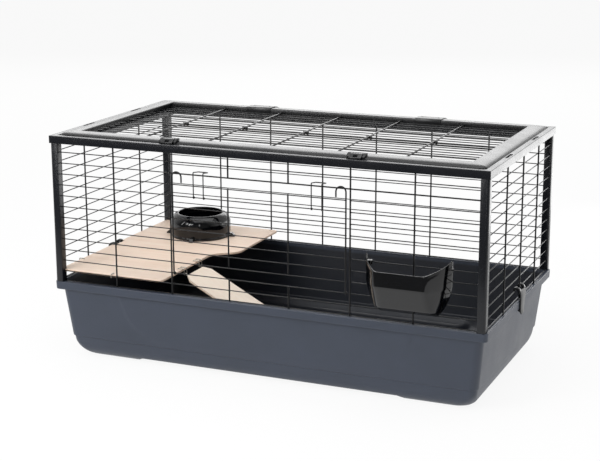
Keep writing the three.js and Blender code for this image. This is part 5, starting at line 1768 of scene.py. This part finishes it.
@dataclass
class SideClips(SubAssembly):
    """The clips that hang from the end walls and snap under the tub's lip."""

    width: float = 42.0
    hook_width: float = 8.0
    thickness: float = 2.6
    foot_width: float = 24.0
    tail: float = 13.0
    catch: float = 6.0

    def build(self) -> list[bpy.types.Object]:
        """Builds both clips."""
        return [self._clip(side) for side in Side]

    def _clip(self, side: Side) -> bpy.types.Object:
        """One clip."""
        wire_x, wire_z = PLAN.side_row_x, PLAN.row_z(PLAN.row_count)
        hole = PLAN.row_square / math.sqrt(2) + PLAN.gap
        lip_x = PLAN.half_x + PLAN.rim_overhang_x
        lip_z = PLAN.tub_height - PLAN.lip_depth
        inner = lip_x + PLAN.gap
        outer = inner + self.thickness
        rim = PLAN.tub_height
        outside = smooth_line(
            [
                (wire_x + 11, wire_z - 1),
                (outer + 1.1, rim + 13),
                (outer + 1.2, rim + 4),
                (outer, lip_z - 2),
                (outer + 0.9, lip_z - self.tail + 1.0),
                (outer + 0.1, lip_z - self.tail),
            ],
            4,
        )
        inside = [
            (inner - 0.3, lip_z - self.tail * 0.6),
            (inner - self.catch, lip_z - 4),
            (inner - self.catch, lip_z - 1),
            (inner, lip_z - 1),
            (inner, rim + 4),
            (wire_x + 8.4, wire_z - 8),
            (wire_x + 8.4, wire_z - 1),
        ]
        form = Form()
        half = self.width / 2
        form.prism([*outside, *inside], -half, half, Axis.Y)
        self._narrow(form, lip_z - self.tail, wire_z)
        finger = [
            (wire_x + 8.4, wire_z - 8),
            (wire_x + 10.9, wire_z - 1),
            (wire_x + 9.4, wire_z + 2.6),
            (wire_x + 5, wire_z + 5.9),
            (wire_x, wire_z + 7),
            (wire_x - 3.5, wire_z + 5.8),
            (wire_x - 5, wire_z + 2.5),
            (wire_x - 5, wire_z - 1.5),
            (wire_x - hole, wire_z - 1.5),
            (wire_x - hole, wire_z + 1.2),
            (wire_x - 1, wire_z + hole + 0.3),
            (wire_x + 1.4, wire_z + hole - 0.1),
            (wire_x + 4, wire_z),
            (wire_x + 5.6, wire_z - 6),
        ]
        for sign in (-1, 1):
            middle = sign * (self.width - self.hook_width) / 2
            form.prism(finger, middle - self.hook_width / 2, middle + self.hook_width / 2, Axis.Y)
        if side is Side.LEFT:
            form.moved(Matrix.Rotation(math.pi, 4, "Z"))
        body = f"side_clip_{side.word}"
        mesh = form.mesh(body, 0.5, sharp=40)
        return piece(f"clip_{side.word}", mesh, self.finishes.clip, body, [body])

    def _narrow(self, form: Form, low: float, high: float) -> None:
        """Draws the plate in towards its foot."""
        for point in form.points:
            share = min(max((point.z - low) / (high - low), 0.0), 1.0)
            point.y *= (self.foot_width + (self.width - self.foot_width) * share) / self.width


@dataclass
class Platform(SubAssembly):
    """The plywood platform and the wire hooks that hold it to the walls."""

    front_width: float = 257.0
    rear_width: float = 309.0
    corner: float = 9.0
    notch: float = 8.0
    notch_half: float = 23.0
    wave: tuple[float, float] = (-28.0, 48.0)
    hook_wire: float = 1.2
    hook_inset: float = 10.0
    hook_drop: float = 7.0
    hook_x: float = -359.0
    hook_y: float = 165.0

    def build(self) -> list[bpy.types.Object]:
        """Builds the board and its hooks."""
        return [self._board(), *self._hooks()]

    def _outline(self) -> list[tuple[float, float]]:
        """The board's outline, with cut corners at the posts and a wave in its free edge."""
        left = PLAN.platform_left
        front, rear = left + self.front_width, left + self.rear_width
        half = -PLAN.front_row_y - PLAN.row_square / 2 - PLAN.gap
        post_x, post_y = -PLAN.post_in_x + PLAN.gap, PLAN.post_in_y - PLAN.gap
        turn = self.corner
        outline = [(post_x, -half)]
        for step in range(9):
            angle = -math.pi / 2 + step / 8 * math.pi / 2
            outline.append((front - turn + turn * math.cos(angle), -half + turn + turn * math.sin(angle)))
        low, high = self.wave
        middle = (low + high) / 2
        for step in range(25):
            t = step / 24
            a, b, c, d = (1 - t) ** 3, 3 * t * (1 - t) ** 2, 3 * t * t * (1 - t), t**3
            outline.append((front * (a + b) + rear * (c + d), low * a + middle * (b + c) + high * d))
        for step in range(9):
            angle = step / 8 * math.pi / 2
            outline.append((rear - turn + turn * math.cos(angle), half - turn + turn * math.sin(angle)))
        outline += [(post_x, half), (post_x, post_y), (left, post_y)]
        outline += [(left, self.notch_half), (left + self.notch, self.notch_half)]
        outline += [(left + self.notch, -self.notch_half), (left, -self.notch_half)]
        outline += [(left, -post_y), (post_x, -post_y)]
        return outline

    def _board(self) -> bpy.types.Object:
        """The plywood board."""
        form = Form()
        form.prism(self._outline(), PLAN.platform_z, PLAN.platform_z + PLAN.board, Axis.Z)
        mesh = form.mesh("platform_board", 0.5, sharp=40)
        return piece("platform_board", mesh, self.finishes.platform, "cage", ["platform"])

    def _hooks(self) -> list[bpy.types.Object]:
        """The four wire hooks."""
        clear = PLAN.row_square / 2 + PLAN.gap + self.hook_wire
        front, side = -PLAN.front_row_y, PLAN.side_row_x
        places = {
            "front": ((self.hook_x, -front + self.hook_inset), (self.hook_x, -front - clear)),
            "rear": ((self.hook_x, front - self.hook_inset), (self.hook_x, front + clear)),
            "left_front": ((-side + self.hook_inset, -self.hook_y), (-side - clear, -self.hook_y)),
            "left_rear": ((-side + self.hook_inset, self.hook_y), (-side - clear, self.hook_y)),
        }
        top = PLAN.platform_z + PLAN.board + PLAN.gap + self.hook_wire
        made = []
        for name, ((hx, hy), (ox, oy)) in places.items():
            corners = [(hx, hy, PLAN.platform_z - 2.5), (hx, hy, top)]
            corners += [(ox, oy, top), (ox, oy, top - self.hook_drop - 1.2)]
            form = Form()
            form.tube(fillet(corners, 2.6, 5), self.hook_wire, 12)
            mesh = form.mesh(f"hook_{name}", sharp=50)
            finish = self.finishes.hook
            made.append(piece(f"board_hook_{name}", mesh, finish, "cage", [f"platform_hook_{name}"]))
        return made


@dataclass
class Ramp(SubAssembly):
    """The ramp, its screw eyes and the hangers it turns on."""

    width: float = 106.0
    middle_y: float = -114.0
    angle: float = 28.0
    chamfer: float = 16.0
    axis_drop: float = 7.0
    axis_out: float = 5.0
    eye_spread: float = 74.0
    end_gap: float = 6.0
    hook_width: float = 13.0
    wire: float = 1.2
    hook_inset: float = 10.0
    front_width: float = 257.0
    eye_wall: float = 1.5
    eye_width: float = 2.4

    @property
    def axis_x(self) -> float:
        """The hinge wire's place along X."""
        return PLAN.platform_left + self.front_width + self.axis_out

    @property
    def axis_z(self) -> float:
        """The hinge wire's height."""
        return PLAN.platform_z - self.axis_drop

    def build(self) -> list[bpy.types.Object]:
        """Builds the board, the eyes and the hangers."""
        made = [self._board()]
        for name, sign in (("front", -1), ("rear", 1)):
            y = self.middle_y + sign * self.eye_spread / 2
            made += [self._eye(name, y), self._hanger(name, y)]
        return made

    def _lowered(self) -> Matrix:
        """Turns a level ramp down to the floor and puts its axis in place."""
        place = Matrix.Translation((self.axis_x, 0, self.axis_z))
        return place @ Matrix.Rotation(math.radians(self.angle), 4, "Y")

    def _board(self) -> bpy.types.Object:
        """The ramp's board."""
        slope = math.radians(self.angle)
        fall = self.axis_z - PLAN.tub_floor_z - PLAN.gap
        length = (fall - PLAN.board / 2 * math.cos(slope)) / math.sin(slope)
        half, cut, start = self.width / 2, self.chamfer, self.end_gap
        y = self.middle_y
        corners = [
            (start, y - half + cut),
            (start + cut, y - half),
            (length, y - half),
            (length, y + half),
            (start + cut, y + half),
            (start, y + half - cut),
        ]
        form = Form()
        form.prism(rounded_outline(corners, 3.0, 4), -PLAN.board / 2, PLAN.board / 2, Axis.Z)
        form.moved(self._lowered())
        mesh = form.mesh("ramp_board", 0.5, sharp=40)
        return piece("ramp_board", mesh, self.finishes.ramp, "ramp", ["ramp"])

    def _eye(self, name: str, y: float) -> bpy.types.Object:
        """A screw eye in the ramp's end."""
        hole = self.wire + PLAN.gap
        form = Form()
        form.eye((0, y, 0), hole, hole + self.eye_wall, self.eye_width, Axis.Y)
        form.tube([(hole + 1.1, y, 0), (self.end_gap + 10, y, 0)], self.wire, 12)
        form.moved(self._lowered())
        mesh = form.mesh(f"ramp_eye_{name}", sharp=50)
        finish = self.finishes.hook
        return piece(f"ramp_screw_eye_{name}", mesh, finish, "ramp", [f"ramp_eye_{name}"])

    def _hanger(self, name: str, y: float) -> bpy.types.Object:
        """A hanger over the platform's edge, down to the hinge wire."""
        top = PLAN.platform_z + PLAN.board + PLAN.gap + self.wire
        inner = self.axis_x - self.axis_out - self.hook_inset
        near, far = y - self.hook_width / 2, y + self.hook_width / 2
        corners = [
            (inner, near, PLAN.platform_z - 2.5),
            (inner, near, top),
            (self.axis_x, near, top),
            (self.axis_x, near, self.axis_z),
            (self.axis_x, far, self.axis_z),
            (self.axis_x, far, top),
            (inner, far, top),
            (inner, far, PLAN.platform_z - 2.5),
        ]
        form = Form()
        form.tube(fillet(corners, 2.0, 4), self.wire, 12)
        mesh = form.mesh(f"ramp_hanger_{name}", sharp=50)
        finish = self.finishes.hook
        return piece(f"ramp_hanger_wire_{name}", mesh, finish, "cage", [f"ramp_hanger_{name}"])


@dataclass
class FoodBowl(SubAssembly):
    """The round food bowl with its four feet."""

    x: float = -340.0
    y: float = 143.0
    radius: float = 72.5
    height: float = 57.0
    mouth: float = 53.5
    wall: float = 3.0
    tab_turn: float = 10.0
    tab_reach: float = 86.5

    def build(self) -> list[bpy.types.Object]:
        """Builds the bowl."""
        base = PLAN.platform_z + PLAN.board + PLAN.gap
        high, out, inside = self.height, self.radius, self.radius - self.wall
        outer = smooth_line(
            [
                (out - 1, 0.4),
                (out - 0.5, 4),
                (out - 2, 7),
                (out, 10),
                (out + 0.4, high - 22),
                (out - 2.5, high - 12),
                (out - 9, high - 4),
                (self.mouth + 4, high - 0.3),
                (self.mouth + 1, high),
                (self.mouth, high - 1.6),
                (self.mouth + 3, high - 4),
                (inside - 6, high - 10),
                (inside, high - 18),
                (inside - 1, 14),
                (inside - 9, 7),
                (inside - 22, 6),
            ],
            5,
        )
        profile = [(0, 2), (out - 12, 2), (out - 10, 0.4), (out - 8, 0), (out - 3, 0), *outer, (0, 6)]
        form = Form()
        form.spun([(r, z) for r, z in profile], (0, 0, 0), Axis.Z, 96)
        for quarter in range(4):
            tab = Form()
            outline = [(out - 6, 0), (self.tab_reach, 0), (self.tab_reach, 3), (out + 7, 9), (out - 2, 9.5)]
            tab.prism(rounded_outline(outline, 1.2, 3), -4.5, 4.5, Axis.Y)
            tab.moved(Matrix.Rotation(math.radians(self.tab_turn + 90 * quarter), 4, "Z"))
            form.add(tab.points, tab.faces)
        form.moved(Matrix.Translation((self.x, self.y, base)))
        mesh = form.mesh("bowl", sharp=40)
        return [piece("bowl", mesh, self.finishes.gloss, "food_bowl", ["food_bowl"])]


@dataclass
class HayRack(SubAssembly):
    """The open rack that hangs on the front wires."""

    x: float = 335.0
    wall: float = 2.4
    back_half: float = 92.0
    front_half: float = 55.0
    bottom: float = 24.0
    front_top: float = 122.0
    back_top: float = 143.0
    crease: float = 91.0
    lip: float = 38.0
    lip_depth: float = 30.0
    hook_row: int = 8
    hook_spread: float = 86.0
    hook_width: float = 9.0
    hook_drop: float = 8.0

    def build(self) -> list[bpy.types.Object]:
        """Builds the rack and its hooks as one moulding."""
        return [self._shell(), self._hooks()]

    def _levels(self) -> list[tuple[float, float, float, float]]:
        """Levels as (height over the rim, half width at the wires, at the front, depth)."""
        back, front, depth = self.back_half, self.front_half, PLAN.rack_depth
        return [
            (self.bottom, back - 29, front + 4, 3.0),
            (self.lip, back - 18, front + 4, self.lip_depth),
            (self.lip + 15, back - 10, front + 3, self.lip_depth + 9.3),
            (self.lip + 32, back - 4, front + 1.5, self.lip_depth + 19.9),
            (self.crease, back, front, depth),
            (self.front_top - 14, back, front - 0.3, depth),
            (self.front_top, back, front - 0.5, depth),
        ]

    def _row(self, level: tuple[float, float, float, float], sink: float = 0.0) -> Ring:
        """One level of the rack in plan, open towards the wires.

        Args:
            level: The level's sizes.
            sink: How far the row is set in, for the inner skin.

        Returns:
            Points from the right rear edge round the front to the left rear edge.
        """
        z, back, front, depth = level
        rear = PLAN.rack_rear_y
        face = rear - max(depth - sink, 0.6)
        back, front = back - sink, front - sink
        bend = min(5.0, depth / 4)
        corners = [
            (back, rear),
            (back - (back - front) * 0.3, rear - depth * 0.45),
            (front + bend * 0.8, face + bend),
            (front - bend, face),
        ]
        right = smooth_line(corners, 4)
        across = [(front - bend) * (1 - 2 * k / 12) for k in range(1, 12)]
        plan = [*right, *((x, face) for x in across), *((-x, y) for x, y in reversed(right))]
        top = PLAN.tub_height + z
        points = []
        for x, y in plan:
            lift = 0.0
            if z >= self.front_top - 0.1:
                lift = (self.back_top - self.front_top) * (y - face) / max(rear - face, 1.0)
            points.append(Vector((self.x + x, y, top + lift)))
        return points

    def _shell(self) -> bpy.types.Object:
        """The thin moulded shell."""
        levels = [tuple(level) for level in smooth_line(self._levels()[:2], 2)]
        levels += [tuple(level) for level in smooth_line(self._levels()[1:5], 3)][1:]
        levels += self._levels()[5:]
        outer = [self._row(level) for level in levels]
        inner = [self._row(level, self.wall) for level in levels]
        for point in inner[0]:
            point.z += self.wall * 1.4
        for row in (outer[-1], inner[-1]):
            for point in row:
                point.z -= 0.3
        count = len(outer[0])
        form = Form()
        skins = [*outer, *reversed(inner)]
        faces: list[tuple[int, ...]] = []
        for row in range(len(skins) - 1):
            for k in range(count - 1):
                a = row * count + k
                faces.append((a, a + 1, a + 1 + count, a + count))
        size = len(skins)
        for k in range(count - 1):
            faces.append((k + 1, k, (size - 1) * count + k, (size - 1) * count + k + 1))
        for row in range(len(outer) - 1):
            for k in (0, count - 1):
                a, b = row * count + k, (row + 1) * count + k
                faces.append((a, b, (size - 2 - row) * count + k, (size - 1 - row) * count + k))
        form.add([point for row in skins for point in row], faces)
        mesh = form.mesh("rack_shell", 0.5, sharp=34)
        return piece("rack_shell", mesh, self.finishes.gloss, "hay_rack", ["hay_rack"])

    def _hooks(self) -> bpy.types.Object:
        """The two hooks over a wire of the front wall."""
        rear = PLAN.rack_rear_y
        row_top = PLAN.row_z(self.hook_row) + PLAN.row_square / 2 + PLAN.gap
        behind = PLAN.front_row_y + PLAN.row_square / 2 + PLAN.gap
        outline = [
            (rear - 3, row_top - self.hook_drop),
            (rear, row_top - self.hook_drop),
            (rear, row_top),
            (behind, row_top),
            (behind, row_top - self.hook_drop),
            (behind + 2.2, row_top - self.hook_drop),
            (behind + 2.2, row_top + 2.4),
            (rear - 3, row_top + 2.4),
        ]
        form = Form()
        for sign in (-1, 1):
            middle = self.x + sign * self.hook_spread
            form.prism(outline, middle - self.hook_width / 2, middle + self.hook_width / 2, Axis.X)
        mesh = form.mesh("rack_hooks", 0.5, sharp=40)
        return piece("rack_hooks", mesh, self.finishes.gloss, "hay_rack")


# ------------------------------------------------------------------ studio


@dataclass
class Softbox:
    """A large soft lamp aimed at the cage."""

    name: str
    place: tuple[float, float, float]
    size: tuple[float, float]
    power: float
    aim: tuple[float, float, float] = (0.0, 0.0, 0.25)

    def build(self) -> None:
        """Adds the lamp to the scene."""
        data = bpy.data.lights.new(self.name, "AREA")
        data.shape = "RECTANGLE"
        data.size, data.size_y = self.size
        data.energy = self.power
        lamp = bpy.data.objects.new(self.name, data)
        lamp.location = self.place
        lamp.visible_camera = False
        lamp.rotation_euler = (Vector(self.aim) - Vector(self.place)).to_track_quat("-Z", "Y").to_euler()
        bpy.context.scene.collection.objects.link(lamp)


@dataclass
class Studio:
    """The floor, the white surroundings, the lamps and the camera at the photograph's angle."""

    azimuth: float = math.degrees(0.403427542)
    elevation: float = math.degrees(0.246948455)
    roll: float = -0.00206296085
    focal_pixels: float = 1453.23052
    picture_width: float = 600.0
    sensor: float = 36.0
    eye: tuple[float, float, float] = (1239.47806, -2938.91837, 1087.547692)
    ambient: float = 0.45
    surround: float = 1.0
    room: float = 0.22
    table_edge: float = -0.7
    edge_blur: float = 0.1
    table_shade: float = 0.1
    table_grey: float = 0.95
    table_reach: float = 14.0
    room_turn: tuple[float, float] = (-0.5, 0.0)
    clip_range: tuple[float, float] = (0.05, 60.0)
    softboxes: tuple[Softbox, ...] = (
        Softbox("softbox_top", (0.2, -0.3, 2.6), (2.6, 1.8), 27.0),
        Softbox("softbox_front", (-1.5, -3.0, 2.0), (1.8, 1.3), 54.0),
        Softbox("softbox_rear", (-1.6, 4.2, 2.2), (4.0, 2.2), 55.0),
        Softbox("strip_left", (-2.3, -1.5, 1.25), (0.22, 1.7), 6.5, (-0.3, 0.1, 0.3)),
        Softbox("strip_middle", (-1.1, -2.1, 1.25), (0.16, 1.7), 6.5, (-0.3, 0.1, 0.3)),
        Softbox("strip_right", (0.6, -2.2, 1.25), (0.16, 1.7), 5.0, (-0.2, 0.1, 0.3)),
        Softbox("softbox_side", (1.15, 1.45, 0.25), (1.5, 0.5), 6.3, (0.5, 0.0, 0.45)),
    )

    def build(self) -> None:
        """Adds everything that isn't part of the cage."""
        self._world()
        self._floor()
        for softbox in self.softboxes:
            softbox.build()
        self._camera()
        bpy.context.scene.view_settings.view_transform = "Standard"

    @staticmethod
    def _seen(
        graph: Graph, mirrored: object, shade: float
    ) -> tuple[bpy.types.NodeSocket, bpy.types.NodeSocket]:
        """What rays see of the surroundings, from the camera, in a reflection or through glass.

        Args:
            graph: The tree to add to.
            mirrored: The level that a reflection sees.
            shade: The share of the plain light that a camera ray keeps.

        Returns:
            The share of the seen level, and that level.
        """
        path = graph.node("ShaderNodeLightPath")
        camera, through = path.outputs["Is Camera Ray"], path.outputs["Is Transmission Ray"]
        other = graph.math("MAXIMUM", path.outputs["Is Glossy Ray"], through)
        share = graph.math("MAXIMUM", graph.math("MULTIPLY", camera, 1.0 - shade), other)
        level = graph.math("MAXIMUM", graph.math("MAXIMUM", camera, through), mirrored)
        return share, level

    def _world(self) -> None:
        """White where it is seen, the unlit room in front only in reflections, a plain level elsewhere."""
        world = bpy.data.worlds.new("studio_surround")
        world.use_nodes = True
        world.node_tree.nodes.clear()
        graph = Graph(world.node_tree)
        white = (1.0, 1.0, 1.0, 1.0)
        way = graph.node("ShaderNodeTexCoord").outputs["Generated"]
        room = graph.spread(graph.part(way, "Y"), *self.room_turn, self.room, self.surround)
        share, level = self._seen(graph, room, 0.0)
        plain = graph.node("ShaderNodeBackground", Color=white, Strength=self.ambient)
        seen = graph.node("ShaderNodeBackground", Color=white, Strength=level)
        mix = graph.node("ShaderNodeMixShader", in_0=share, in_1=plain.outputs[0], in_2=seen.outputs[0])
        graph.node("ShaderNodeOutputWorld", Surface=mix.outputs[0])
        bpy.context.scene.world = world

    def _floor(self) -> None:
        """A pale table that keeps the cage's shadow; beyond its front edge reflections see the room."""
        material = bpy.data.materials.new("studio_floor_white")
        material.use_nodes = True
        tree = material.node_tree
        tree.nodes.clear()
        graph = Graph(tree)
        spot = graph.node("ShaderNodeNewGeometry").outputs["Position"]
        edge, grey, reach = self.table_edge, self.table_grey, self.table_reach
        room = graph.spread(graph.part(spot, "Y"), edge - self.edge_blur, edge, self.room, self.surround)
        share, level = self._seen(graph, room, self.table_shade)
        lit = graph.node("ShaderNodeBsdfDiffuse", Color=(grey, grey, grey, 1.0))
        glow = graph.node("ShaderNodeEmission", Color=(1.0, 1.0, 1.0, 1.0), Strength=level)
        mix = graph.node("ShaderNodeMixShader", in_0=share, in_1=lit.outputs[0], in_2=glow.outputs[0])
        graph.node("ShaderNodeOutputMaterial", Surface=mix.outputs[0])
        mesh = bpy.data.meshes.new("studio_floor")
        corners = [(-reach, -reach, 0), (reach, -reach, 0), (reach, reach, 0), (-reach, reach, 0)]
        mesh.from_pydata(corners, [], [(0, 1, 2, 3)])
        mesh.materials.append(material)
        floor = bpy.data.objects.new("studio_floor", mesh)
        bpy.context.scene.collection.objects.link(floor)

    def _camera(self) -> None:
        """The camera at the photograph's angle and distance."""
        data = bpy.data.cameras.new("photo_camera")
        data.sensor_width = self.sensor
        data.lens = self.focal_pixels / self.picture_width * self.sensor
        data.clip_start, data.clip_end = self.clip_range
        camera = bpy.data.objects.new("photo_camera", data)
        a, e = math.radians(self.azimuth), math.radians(self.elevation)
        back = Vector((math.sin(a) * math.cos(e), -math.cos(a) * math.cos(e), math.sin(e)))
        right = (-back).cross(Vector((0, 0, 1))).normalized()
        up = right.cross(-back)
        c, s = math.cos(self.roll), math.sin(self.roll)
        tilted_right, tilted_up = c * right + s * up, -s * right + c * up
        turn = Matrix((tilted_right, tilted_up, back)).transposed()
        place = (Vector(self.eye) + Vector((0, -PLAN.middle_y, 0))) * MM
        camera.matrix_world = Matrix.Translation(place) @ turn.to_4x4()
        bpy.context.scene.collection.objects.link(camera)
        bpy.context.scene.camera = camera


# ------------------------------------------------------------------ making the scene


def main() -> None:
    """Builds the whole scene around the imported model."""
    logging.basicConfig(level=logging.INFO, format="%(name)s: %(message)s")
    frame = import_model()
    finishes = Finishes.build()
    parts: list[SubAssembly] = [
        Tub(finishes),
        WireTop(finishes),
        FrontDoor(finishes),
        Lid(finishes),
        SideClips(finishes),
        Platform(finishes),
        Ramp(finishes),
        FoodBowl(finishes),
        HayRack(finishes),
    ]
    for part in parts:
        for made in part.build():
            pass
    Studio().build()


if __name__ == "__main__":
    main()
